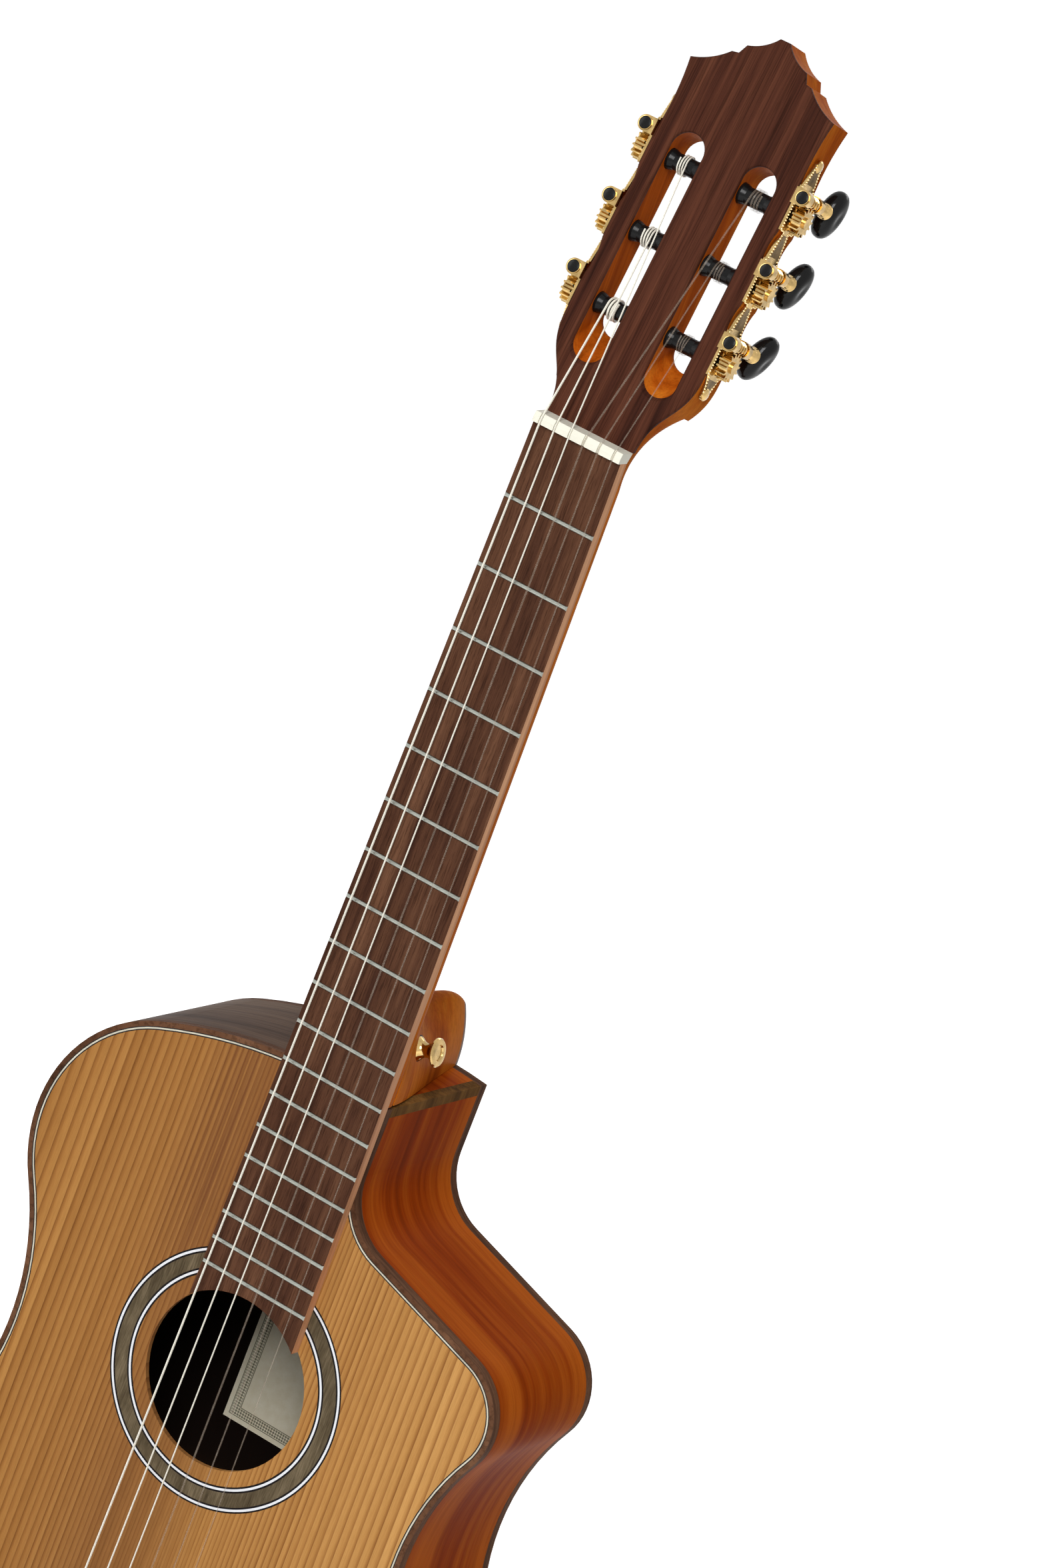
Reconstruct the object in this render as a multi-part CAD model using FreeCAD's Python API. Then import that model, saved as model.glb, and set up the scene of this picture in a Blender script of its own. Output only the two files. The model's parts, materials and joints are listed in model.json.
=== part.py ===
"""Classical guitar with a treble cutaway, a slotted headstock and a built-in preamp.

Millimetres. The guitar stands upright: Z runs from the tail up along the neck, the soundboard faces
-Y, and the treble side with the cutaway is at +X. The origin is the mouth of the output jack, on the
centre line at the tail.
"""
import FreeCAD, Part
import math
import os

V = FreeCAD.Vector
X_AXIS, Y_AXIS, Z_AXIS = V(1, 0, 0), V(0, 1, 0), V(0, 0, 1)
overrun = 5.0                       # how far cutting tools reach past what they cut
halvings = 40                       # steps of a search by halving

# Scale and body outline
scale_length = 650.0
# Saddle above the tail, the body's upper end and the soundhole above the saddle, as shares of the scale
saddle_share, body_end_share, soundhole_share = 0.2538, 0.5019, 0.2569
body_length = (saddle_share + body_end_share) * scale_length
body_depth = 96.0
lower_half, waist_half, upper_half = 185.0, 118.0, 144.0
# Heights of the outline's lower, upper and horn circles and radii of the first two, as shares of the
# body's length
lower_height_share, upper_height_share, horn_height_share = 0.2694, 0.8245, 0.7592
lower_radius_share, upper_radius_share = 0.2408, 0.1470
horn_beyond_waist, horn_radius = 19.0, 32.0
cutaway_half, cutaway_fillet, cutaway_slope = 28.0, 32.0, 17.4
soundhole_radius = 43.5

# Body pieces
side_wall = 2.5
binding_height = 6.0
purfling_width, purfling_depth = 1.8, 1.2
top_thickness, back_thickness = 2.8, 3.0
lining_width, lining_height = 6.0, 14.0
block_half, neck_block_height, tail_block_height = 33.0, 42.0, 18.0
rosette_inner, rosette_outer, rosette_depth = 51.0, 63.5, 1.2
strip_width, strip_depth = 5.0, 1.4
brace_gap = 1.0
bar_width, bar_height = 9.0, 14.0
fan_count, fan_width, fan_height, fan_spread = 5, 6.0, 5.0, 9.0
fan_foot, fan_pitch = 38.0, 38.0
# Heights of the bars and length of the fan braces, as shares of the body's length
bar_shares, back_bar_shares, fan_share = (0.453, 0.788), (0.2245, 0.4796, 0.8265), 0.306
back_bar_height = 12.0
label_width, label_height, label_thickness = 90.0, 72.0, 0.3
label_left, label_below_soundhole = 38.0, 57.0

# Neck
nut_width, join_width = 48.0, 57.0
fingerboard_thickness = 6.0
fret_count, fret_width, fret_height, fret_bevel = 19, 2.2, 1.0, 0.8
tang_width, tang_depth, tang_inset = 0.6, 1.6, 1.2
nut_thickness, nut_height, nut_fall = 5.0, 8.0, 0.8
neck_depth_nut, neck_depth_heel = 14.5, 16.5
heel_height, heel_half, heel_cap_thickness, heel_curve = 30.0, 9.5, 3.0, 38.0
throat_length, throat_start = 24.0, 14.0
throat_shares = (0.45, 1.0)
# Side wall and corner radius of the neck's sections as shares of their depth. The heel's sections as
# shares of body depth, of the width between heel and neck, of its upward curve, and how blunt each is.
neck_shape_shares, throat_shape_shares = (0.06, 0.62), (0.7, 0.9)
heel_shares = ((0.06, 0.97, 1.0, 0.75), (0.20, 0.88, 0.58, 0.70), (0.45, 0.60, 0.26, 0.55),
               (0.84, 0.16, 0.16, 0.38), (1.0, 0.0, 0.0, 0.32))

# Headstock, measured along its face from the back of the nut
head_angle = 13.4
head_set_back = 2.0                 # of its face at the nut, behind the face of the neck
veneer_thickness = 2.0
head_thickness = 20.0
head_half, neck_flare = 38.0, 44.0
crest_corner, crest_half = 171.0, 38.9
crest_step_half, crest_step = 21.6, 181.0
crest_ear_half, crest_ear = 18.2, 181.6
crest_arm_half, crest_arm = 16.0, 186.2
crest_tip_half, crest_tip = 2.6, 195.0
crest_sag, scallop_sag = 1.4, 1.2
slot_inner, slot_outer = 10.9, 28.3
slot_bottom, slot_top, ramp_start, ramp_run = 42.0, 140.5, 25.0, 17.0

# Tuning machines
tuner_first, tuner_pitch, tuner_count = 54.0, 36.0, 3
roller_depth = 8.0
roller_radius, barrel_radius, roller_clearance = 5.0, 4.2, 0.2
roller_flare, roller_root, roller_end_gap = 2.4, 1.8, 0.2
roller_shaft_radius = 2.6
plate_thickness, plate_half, plate_fan, plate_waist = 1.2, 7.5, 6.2, 3.2
plate_lead, plate_tail, finial_radius = 16.0, 25.0, 3.2
gear_teeth, gear_pitch_radius, gear_addendum, gear_dedendum = 14, 6.3, 0.8, 1.0
gear_thickness, gear_stand_off = 5.0, 1.2
gear_screw_radius, gear_screw_height = 2.8, 1.0
worm_pitch_radius, worm_root_radius, worm_shaft_radius, worm_clearance = 3.0, 1.9, 2.3, 0.12
bearing_half, bearing_length, bearing_reach = 3.9, 4.4, 1.9
cap_radius, cap_height = 3.3, 0.9
stem_length, stem_radius, stem_gap = 9.0, 2.9, 0.15
knob_long, knob_wide, knob_high, knob_end_share = 12.0, 5.4, 7.5, 0.72
tooth_shares = ((0.0, -0.30), (1.0, -0.12), (1.0, 0.12), (0.0, 0.30))
treble_knob_turns, bass_knob_turns = (19.0, 13.0, 8.0), (-12.0, 9.0, -5.0)

# Strings, treble to bass
string_diameters = (0.72, 0.82, 1.02, 0.76, 0.88, 1.10)
nut_spread, saddle_spread = 40.0, 55.0
string_over_nut_plane, string_over_saddle_plane = 1.2, 6.3
string_slack = 0.15
winding_turns, winding_gap = 3, 0.55
string_sides, winding_detail = 6, 8
winding_starts, winding_ways = (21.6, 17.4, 17.8), (-1, 1, 1)
nut_bend_radius, hole_bend_radius, string_tail = 4.0, 1.8, 2.0

# Bridge
bridge_length, bridge_width, wing_height, wing_edge = 188.0, 28.0, 3.4, 1.2
block_length, block_height, land_height, nose_height, nose_width = 82.0, 9.0, 7.5, 4.2, 5.5
tie_width, trench_width, trench_height = 11.0, 5.5, 3.0
bridge_below_saddle = 20.0
saddle_length, saddle_thickness, saddle_floor = 78.0, 2.8, 2.6
pickup_height, pickup_inset = 1.2, 3.0
tie_hole_height, tie_hole_radius, tie_hole_lead = 4.2, 1.0, 1.2
inlay_width, inlay_depth = 2.4, 0.6

# Strap button and output jack
button_above_body, button_depth, button_tilt = 25.0, 23.0, 16.0
button_radius, button_base_radius, button_waist_radius, button_length = 7.0, 6.0, 3.4, 12.5
button_washer, button_seat, button_peg_radius, button_peg_length = 1.2, 1.6, 1.8, 12.0
button_taper, button_rim = 3.0, 2.4
pin_reach, pin_flange_radius, pin_waist_radius = 9.0, 7.5, 5.6
pin_flange_height, pin_base_height = 2.6, 2.0
jack_bore_radius, jack_bore_length, jack_wall_radius, jack_length = 3.2, 30.0, 5.9, 40.0
jack_clearance = 0.1

# Preamp on the bass side
panel_half_y, panel_half_z, panel_thickness = 33.0, 20.0, 1.2
bezel_half_y, bezel_half_z, bezel_proud = 28.0, 15.0, 3.2
housing_half_y, housing_half_z, housing_depth = 29.0, 17.0, 34.0
fit_gap = 0.2
dial_radius, dial_height, dial_gap = 4.6, 5.0, 0.3
dial_stem_radius, dial_stem_length, dial_stem_gap = 1.5, 6.0, 0.15
dial_y, dial_pitch, dial_z = -21.0, 12.0, 5.0
press_y, press_z, press_half_y, press_half_z = -15.0, -8.0, 4.0, 2.2
press_proud, press_depth, press_gap, press_travel = 1.6, 3.0, 0.2, 0.8
door_start, door_end, door_half_z, door_thickness = 1.0, 24.0, 11.5, 1.6
door_tongue, door_lip = 1.0, 0.6
cell_radius, cell_depth = 10.2, 3.6

# Places worked out from the sizes
front_y, back_y = -body_depth / 2, body_depth / 2
tail_z = pin_reach
lower_radius, upper_radius = lower_radius_share * body_length, upper_radius_share * body_length
lower_height, upper_height = lower_height_share * body_length, upper_height_share * body_length
lower_x, upper_x = lower_half - lower_radius, upper_half - upper_radius
upper_z = tail_z + upper_height
saddle_z = tail_z + saddle_share * scale_length
top_z = tail_z + body_length
nut_z = saddle_z + scale_length
soundhole_z = saddle_z + soundhole_share * scale_length
head_z = nut_z + nut_thickness
head_y = front_y + head_set_back
board_y = front_y - fingerboard_thickness
fret_y = board_y - fret_height
pad_half = tuner_pitch / 4
gear_root_radius = gear_pitch_radius - gear_dedendum
gear_tip_radius = gear_pitch_radius + gear_addendum
worm_offset = gear_pitch_radius + worm_pitch_radius
plate_outer = head_half + plate_thickness
gear_x = plate_outer + gear_stand_off
worm_x = gear_x + gear_thickness / 2


def unit(a, b):
    """Direction from point a to point b."""
    d = b.sub(a)
    return d.multiply(1 / d.Length)


def line(a, b):
    return Part.LineSegment(a, b).toShape()


def arc(a, m, b):
    return Part.Arc(a, m, b).toShape()


def arc_about(centre, radius, from_dir, to_dir):
    """Arc of less than a half circle about a centre, between two directions."""
    middle = from_dir.add(to_dir)
    middle.normalize()
    ends = [centre.add(V(d).multiply(radius)) for d in (from_dir, middle, to_dir)]
    return arc(*ends)


def bowed(a, b, sag):
    """Arc from a to b in an X-Z plane whose middle lies sag to the left of the chord."""
    d = unit(a, b)
    middle = a.add(b).multiply(1 / 2).add(V(-d.z, 0, d.x).multiply(sag))
    return arc(a, middle, b)


def prism(edges, direction):
    return Part.Face(Part.Wire(Part.__sortEdges__(edges))).extrude(direction)


def polygon(points, direction):
    return Part.Face(Part.makePolygon(list(points) + [points[0]])).extrude(direction)


def box(x0, x1, y0, y1, z0, z1):
    return Part.makeBox(x1 - x0, y1 - y0, z1 - z0, V(x0, y0, z0))


def cylinder(radius, start, direction, length):
    return Part.makeCylinder(radius, length, start, direction)


def fuse(shapes):
    return shapes[0].multiFuse(shapes[1:]).removeSplitter()


# Body outline: a chain of tangent arcs. Moving it inwards changes only the radii.

def waist_rise(waist_radius, x, radius):
    """Height between a circle of the outline and the waist's circle that touches it."""
    return math.sqrt((radius + waist_radius) ** 2 - (waist_half + waist_radius - x) ** 2)


def waist_circle(x, radius, height):
    """Radius and height of the waist's circle that touches the lower circle and the given one."""
    low, high = 0.0, body_length
    for _ in range(halvings):
        waist_radius = (low + high) / 2
        from_lower = waist_rise(waist_radius, lower_x, lower_radius)
        if from_lower + waist_rise(waist_radius, x, radius) < height - lower_height:
            low = waist_radius
        else:
            high = waist_radius
    return waist_radius, lower_height + from_lower


def body_outline(inset, y):
    """Closed outline of the body at depth y, moved inwards by inset."""
    at = lambda x, z: V(x, y, tail_z + z)
    tail_radius = (lower_x ** 2 + lower_height ** 2 - lower_radius ** 2) / (2 * (lower_height - lower_radius))
    crown = body_length - upper_height
    crown_radius = (upper_x ** 2 + crown ** 2 - upper_radius ** 2) / (2 * (crown - upper_radius))
    horn_x, horn_z = waist_half + horn_beyond_waist - horn_radius, horn_height_share * body_length
    radius_b, height_b = waist_circle(upper_x, upper_radius, upper_height)
    radius_t, height_t = waist_circle(horn_x, horn_radius, horn_z)
    slope = math.radians(cutaway_slope)
    normal = V(math.sin(slope), 0, math.cos(slope))
    fillet_x = cutaway_half + cutaway_fillet
    reach = normal.x * horn_x + normal.z * horn_z + horn_radius + cutaway_fillet
    fillet_z = (reach - normal.x * fillet_x) / normal.z

    tail_c, crown_c = at(0, tail_radius), at(0, body_length - crown_radius)
    low_t, low_b = at(lower_x, lower_height), at(-lower_x, lower_height)
    waist_t, waist_b = at(waist_half + radius_t, height_t), at(-waist_half - radius_b, height_b)
    upper_b, horn, fillet = at(-upper_x, upper_height), at(horn_x, horn_z), at(fillet_x, fillet_z)

    corner_x = cutaway_half - inset
    corner = V(corner_x, y, crown_c.z + math.sqrt((crown_radius - inset) ** 2 - corner_x ** 2))
    horn_end = horn.add(V(normal).multiply(horn_radius - inset))
    fillet_start = fillet.sub(V(normal).multiply(cutaway_fillet + inset))
    fillet_end = V(corner_x, y, fillet.z)
    return [
        arc_about(tail_c, tail_radius - inset, unit(tail_c, low_b), unit(tail_c, low_t)),
        arc_about(low_t, lower_radius - inset, unit(tail_c, low_t), unit(low_t, waist_t)),
        arc_about(waist_t, radius_t + inset, unit(waist_t, low_t), unit(waist_t, horn)),
        arc_about(horn, horn_radius - inset, unit(horn, waist_t), normal),
        line(horn_end, fillet_start),
        arc_about(fillet, cutaway_fillet + inset, V(normal).multiply(-1), V(-1, 0, 0)),
        line(fillet_end, corner),
        arc_about(crown_c, crown_radius - inset, unit(crown_c, corner), unit(crown_c, upper_b)),
        arc_about(upper_b, upper_radius - inset, unit(crown_c, upper_b), unit(upper_b, waist_b)),
        arc_about(waist_b, radius_b + inset, unit(waist_b, upper_b), unit(waist_b, low_b)),
        arc_about(low_b, lower_radius - inset, unit(low_b, waist_b), unit(tail_c, low_b)),
    ]


def plate(inset, y0, y1):
    """The body's outline, moved inwards by inset, as a solid between two depths."""
    return prism(body_outline(inset, y0), V(0, y1 - y0, 0))


def ring(outer_inset, inner_inset, y0, y1):
    return plate(outer_inset, y0, y1).cut(plate(inner_inset, y0, y1))


soundhole = cylinder(soundhole_radius, V(0, front_y - body_depth, soundhole_z), Y_AXIS, 2 * body_depth)
jack_hole = cylinder(jack_wall_radius + jack_clearance, V(0, 0, tail_z - overrun), Z_AXIS,
                     tail_block_height + side_wall + 2 * overrun)
inner_front, inner_back = front_y + top_thickness, back_y - back_thickness


def rosette_ring(thickness):
    start = V(0, front_y, soundhole_z)
    disc = cylinder(rosette_outer, start, Y_AXIS, thickness)
    return disc.cut(cylinder(rosette_inner, start, Y_AXIS, thickness))


def make_soundboard():
    board = plate(side_wall, front_y, inner_front).cut(soundhole)
    board = board.cut(rosette_ring(rosette_depth))
    return board.cut(ring(side_wall, side_wall + purfling_width, front_y, front_y + purfling_depth))


def corner_cube():
    """The region of the vertical corner where the cutaway meets the shoulder."""
    corner = body_outline(0, 0)[7].Vertexes[0].Point
    return box(corner.x - strip_width, corner.x + overrun, front_y, back_y,
               corner.z - strip_width, corner.z + overrun)


def make_sides():
    wall = ring(0, side_wall, front_y + binding_height, back_y - binding_height).cut(jack_hole)
    span = lower_half + overrun
    left = box(-span, 0, front_y, back_y, tail_z - overrun, top_z + overrun)
    right = box(0, span, front_y, back_y, tail_z - overrun, top_z + overrun)
    window = box(-upper_half - overrun, -upper_half + housing_depth, -bezel_half_y - fit_gap,
                 bezel_half_y + fit_gap, upper_z - bezel_half_z - fit_gap, upper_z + bezel_half_z + fit_gap)
    outer_layer = ring(0, strip_depth, front_y + binding_height, back_y - binding_height)
    strip = outer_layer.common(corner_cube())
    return wall.common(left).cut(window), wall.common(right).cut(strip), strip


def inside(inset, x0, x1, y0, y1, z0, z1):
    """A box cut to the body's outline moved inwards by inset."""
    return plate(inset, y0, y1).common(box(x0, x1, y0, y1, z0, z1))


def make_blocks():
    neck_block = inside(side_wall, -block_half, cutaway_half, inner_front, inner_back,
                        top_z - side_wall - neck_block_height, top_z)
    tail_block = inside(side_wall, -block_half, block_half, inner_front, inner_back,
                        tail_z, tail_z + side_wall + tail_block_height)
    return neck_block, tail_block.cut(jack_hole)


def make_linings(blocks):
    inner = side_wall + lining_width
    front = ring(side_wall, inner, inner_front, inner_front + lining_height)
    back = ring(side_wall, inner, inner_back - lining_height, inner_back)
    return [lining.cut(blocks[0]).cut(blocks[1]) for lining in (front, back)]


def make_top_braces():
    inset = side_wall + lining_width + brace_gap
    bars = []
    for share in bar_shares:
        z = tail_z + share * body_length
        bars.append(inside(inset, -lower_half, lower_half, inner_front, inner_front + bar_height,
                           z, z + bar_width))
    for k in range(fan_count):
        step = k - (fan_count - 1) / 2
        fan = box(-fan_width / 2, fan_width / 2, inner_front, inner_front + fan_height, 0,
                  fan_share * body_length)
        fan.rotate(V(0, 0, 0), Y_AXIS, -step * fan_spread)
        fan.translate(V(step * fan_pitch, 0, tail_z + fan_foot))
        bars.append(fan)
    return bars


def make_back_braces():
    inset = side_wall + lining_width + brace_gap
    heights = [tail_z + share * body_length for share in back_bar_shares]
    return [inside(inset, -lower_half, lower_half, inner_back - back_bar_height, inner_back,
                   z, z + bar_width) for z in heights]


def make_label():
    z = soundhole_z - label_below_soundhole
    return box(-label_left, label_width - label_left, inner_back - label_thickness, inner_back,
               z, z + label_height)


# Fingerboard, frets and nut

def board_half(z):
    """Half the fingerboard's width at height z."""
    return nut_width / 2 + (nut_z - z) * (join_width - nut_width) / scale_length


def fret_z(n):
    return saddle_z + scale_length * 2 ** (-n / 12)


def tang(n, width, depth):
    half = board_half(fret_z(n)) - tang_inset
    return box(-half, half, board_y, board_y + depth, fret_z(n) - width / 2, fret_z(n) + width / 2)


def make_fingerboard():
    end_z = soundhole_z
    points = [V(-board_half(end_z), front_y, end_z), V(board_half(end_z), front_y, end_z),
              V(board_half(nut_z), front_y, nut_z), V(-board_half(nut_z), front_y, nut_z)]
    board = polygon(points, V(0, -fingerboard_thickness, 0)).cut(soundhole)
    for n in range(1, fret_count + 1):
        board = board.cut(tang(n, tang_width, tang_depth))
    return board


def make_fret(n):
    z, half = fret_z(n), board_half(fret_z(n))
    crown = prism([line(V(-half, board_y, z - fret_width / 2), V(-half, board_y, z + fret_width / 2)),
                   arc(V(-half, board_y, z + fret_width / 2), V(-half, fret_y, z),
                       V(-half, board_y, z - fret_width / 2))], V(2 * half, 0, 0))
    bevel = polygon([V(-half, board_y, z - fret_width), V(half, board_y, z - fret_width),
                     V(half - fret_bevel, fret_y, z - fret_width),
                     V(-half + fret_bevel, fret_y, z - fret_width)], V(0, 0, 2 * fret_width))
    return crown.common(bevel).fuse(tang(n, tang_width, tang_depth))


# Headstock frame: x across, t back from the face, s along the face from the back of the nut

def to_head(shape):
    """Move a shape drawn with Y as depth from the face and Z as distance along it into place."""
    placed = shape.copy()
    placed.rotate(V(0, 0, 0), X_AXIS, -head_angle)
    placed.translate(V(0, head_y, head_z))
    return placed


def head_point(x, t, s):
    a = math.radians(head_angle)
    return V(x, head_y + s * math.sin(a) + t * math.cos(a), head_z + s * math.cos(a) - t * math.sin(a))


def tuner_s(k):
    return tuner_first + k * tuner_pitch


def foot_curve(t):
    """The curve that widens the treble edge from the nut to the headstock."""
    curve = Part.BezierCurve()
    middle = neck_flare / 2
    curve.setPoles([V(nut_width / 2, t, 0), V(nut_width / 2, t, middle), V(head_half, t, middle),
                    V(head_half, t, neck_flare)])
    return curve


def head_outline(t):
    """Closed outline of the headstock in its own frame."""
    foot, at = V(nut_width / 2, t, 0), V(head_half, t, neck_flare)
    right = [foot_curve(t).toShape()]
    for k in range(tuner_count):
        start, end = V(head_half, t, tuner_s(k) - pad_half), V(head_half, t, tuner_s(k) + pad_half)
        right.append(line(at, start) if k == 0 else bowed(at, start, scallop_sag))
        right.append(line(start, end))
        at = end
    corner = V(crest_half, t, crest_corner)
    step, ear = V(crest_step_half, t, crest_step), V(crest_ear_half, t, crest_ear)
    arm, tip = V(crest_arm_half, t, crest_arm), V(crest_tip_half, t, crest_tip)
    right += [bowed(at, corner, scallop_sag), bowed(corner, step, crest_sag), line(step, ear),
              line(ear, arm), bowed(arm, tip, crest_sag)]
    left = [e.mirror(V(0, 0, 0), X_AXIS) for e in right]
    close = [line(V(-foot.x, t, 0), foot), line(tip, V(-tip.x, t, tip.z))]
    return right + left + close


def head_slots():
    """Both string slots, with the ramps that lead the strings in."""
    radius, centre = (slot_outer - slot_inner) / 2, (slot_outer + slot_inner) / 2
    depth = head_thickness + 2 * overrun

    def stadium(bottom, top, direction):
        low, high = bottom + radius, top - radius
        return prism([line(V(centre + radius, 0, low), V(centre + radius, 0, high)),
                      arc_about(V(centre, 0, high), radius, X_AXIS, Z_AXIS),
                      arc_about(V(centre, 0, high), radius, Z_AXIS, V(-1, 0, 0)),
                      line(V(centre - radius, 0, high), V(centre - radius, 0, low)),
                      arc_about(V(centre, 0, low), radius, V(-1, 0, 0), V(0, 0, -1)),
                      arc_about(V(centre, 0, low), radius, V(0, 0, -1), X_AXIS)], direction)

    straight = stadium(slot_bottom, slot_top, V(0, depth, 0))
    straight.translate(V(0, -overrun, 0))
    share = depth / (head_thickness - veneer_thickness)
    ramp = stadium(ramp_start, slot_top - 2 * ramp_run, V(0, depth, ramp_run * share))
    ramp.translate(V(0, -overrun, -overrun * ramp_run / (head_thickness - veneer_thickness)))
    slot = straight.fuse(ramp)
    return slot.fuse(slot.mirror(V(0, 0, 0), X_AXIS))


def roller_holes():
    holes = []
    for k in range(tuner_count):
        for side in (-1, 1):
            holes.append(cylinder(roller_radius + roller_clearance,
                                  V(side * (roller_root - roller_end_gap), roller_depth, tuner_s(k)),
                                  V(side, 0, 0), head_half))
    return holes


def make_veneer():
    face = to_head(prism(head_outline(0), V(0, veneer_thickness, 0)).cut(head_slots()))
    return face.cut(box(-head_half, head_half, board_y, back_y, nut_z, head_z))


def oval(long_half, short_half, end_radius):
    """Three-centred oval: the long sides' radius, and where it meets the end's arc, both ways."""
    end_centre = long_half - end_radius
    radius = (end_centre ** 2 + short_half ** 2 - end_radius ** 2) / (2 * (short_half - end_radius))
    reach = radius - end_radius
    return radius, end_centre + end_radius * end_centre / reach, end_radius * (radius - short_half) / reach


def neck_section(half, depth, wall_share, corner_share, front):
    """Section of the neck in an X-Y plane: side walls, round corners and a gently curved back."""
    wall = depth * wall_share
    corner = (depth - wall) * corner_share
    _, x, y = oval(half, depth - wall, corner)
    right, left = V(half - corner, wall, 0), V(corner - half, wall, 0)
    turn_r, turn_l = V(x, wall + y, 0), V(-x, wall + y, 0)
    return Part.Wire([line(V(half, -front, 0), V(half, wall, 0)),
                      arc_about(right, corner, X_AXIS, unit(right, turn_r)),
                      arc(turn_r, V(0, depth, 0), turn_l),
                      arc_about(left, corner, unit(left, turn_l), V(-1, 0, 0)),
                      line(V(-half, wall, 0), V(-half, -front, 0)),
                      line(V(-half, -front, 0), V(half, -front, 0))])


def throat_sections():
    """Sections from the neck below the nut to the full thickness of the headstock."""
    low = neck_section(board_half(nut_z - throat_start), neck_depth_nut, *neck_shape_shares, overrun)
    low.translate(V(0, front_y, nut_z - throat_start))
    sections = [low]
    for share in throat_shares:
        s = throat_length * share
        shape = [a + (b - a) * share for a, b in zip(neck_shape_shares, throat_shape_shares)]
        section = neck_section(foot_half(s), head_thickness, *shape, overrun)
        section.translate(V(0, 0, s))
        sections.append(to_head(section))
    return sections


def foot_half(s):
    """Half width of the headstock's foot at distance s along it, found by halving."""
    curve = foot_curve(0)
    low, high = 0.0, 1.0
    for _ in range(halvings):
        middle = (low + high) / 2
        if curve.value(middle).z < s:
            low = middle
        else:
            high = middle
    return curve.value(low).x


def heel_section(y, half, height, blunt):
    """Section of the heel in an X-Z plane: a tall arch that stands on the body."""
    tip_radius = half * blunt
    radius, rise, x = oval(height, half, tip_radius)
    at = lambda x, z: V(x, y, top_z + z)
    right, left = at(half - radius, 0), at(radius - half, 0)
    turn_r, turn_l = at(x, rise), at(-x, rise)
    return Part.Wire([arc_about(right, radius, X_AXIS, unit(right, turn_r)),
                      arc(turn_r, at(0, height), turn_l),
                      arc_about(left, radius, unit(left, turn_l), V(-1, 0, 0)),
                      line(at(-half, 0), at(half, 0))])


def make_heel():
    spread = board_half(top_z) - heel_half
    sections = [heel_section(front_y + body_depth * depth_share, heel_half + spread * width_share,
                             heel_height + heel_curve * curve_share, blunt)
                for depth_share, width_share, curve_share, blunt in heel_shares]
    return Part.makeLoft(sections, True)


def make_shaft():
    sections = []
    for z, depth in ((top_z, neck_depth_heel), (nut_z - throat_start, neck_depth_nut)):
        section = neck_section(board_half(z), depth, *neck_shape_shares, 0)
        section.translate(V(0, front_y, z))
        sections.append(section)
    return Part.makeLoft(sections, True, True)


def make_neck_and_headstock():
    """The throat is cut at the back of the nut: its lower half is neck, its upper half headstock."""
    throat = Part.makeLoft(throat_sections(), True)
    wide = head_half + 2 * overrun
    before_face = to_head(box(-wide, wide, -head_thickness, veneer_thickness, -head_thickness, crest_tip))
    below_nut = box(-wide, wide, front_y, back_y, top_z, head_z)
    beyond_nut = box(-wide, wide, front_y - head_thickness, back_y, head_z, head_z + 2 * throat_length)
    seat = polygon([V(-wide, front_y, nut_z), V(-wide, front_y, head_z), V(-wide, head_y, head_z)],
                   V(2 * wide, 0, 0))
    neck = fuse([make_shaft(), throat.common(below_nut).cut(seat)])
    heel = make_heel().cut(box(-wide, wide, back_y - heel_cap_thickness, back_y + overrun, top_z, head_z))
    neck = fuse([neck, heel])
    blank = prism(head_outline(veneer_thickness), V(0, head_thickness - veneer_thickness, 0))
    above_throat = box(-wide, wide, 0, head_thickness + overrun, throat_length, crest_tip + overrun)
    head = fuse([to_head(blank.common(above_throat)), throat.common(beyond_nut).cut(before_face)])
    cutters = [head_slots()] + roller_holes()
    for cutter in cutters:
        head = head.cut(to_head(cutter))
    return neck, head


def make_heel_cap():
    return make_heel().common(box(-nut_width, nut_width, back_y - heel_cap_thickness, back_y, top_z, nut_z))


# Strings: each path is straight runs joined by tangent arcs, and ends in a winding

def string_x(k, spread):
    return spread / 2 - k * spread / (len(string_diameters) - 1)


def string_y(k, z):
    """Depth of string k's centre line between saddle and nut: its underside follows the two planes."""
    share = (z - saddle_z) / scale_length
    over = string_over_saddle_plane + share * (string_over_nut_plane - string_over_saddle_plane)
    return board_y - over - string_diameters[k] / 2


def rounded(points, radii):
    """Edges along a polyline whose inner corners are tangent arcs of the given radii."""
    edges, at = [], points[0]
    for k in range(1, len(points) - 1):
        before, after = unit(points[k], points[k - 1]), unit(points[k], points[k + 1])
        half_angle = before.getAngle(after) / 2
        cut = radii[k - 1] / math.tan(half_angle)
        start, end = points[k].add(V(before).multiply(cut)), points[k].add(V(after).multiply(cut))
        axis = before.add(after)
        axis.normalize()
        centre_distance = radii[k - 1] / math.sin(half_angle)
        middle = points[k].add(V(axis).multiply(centre_distance - radii[k - 1]))
        edges += [line(at, start), arc(start, middle, end)]
        at = end
    return edges + [line(at, points[-1])]


def tangent_arc(a, control, b):
    """Arc from a to b whose end tangents meet at control."""
    middle = a.add(b).multiply(1 / 2)
    half = a.sub(b).Length / 2
    rise = control.sub(middle)
    alpha = math.atan2(rise.Length, half)
    return arc(a, middle.add(rise.multiply(math.tan(alpha / 2) / math.tan(alpha))), b)


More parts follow.
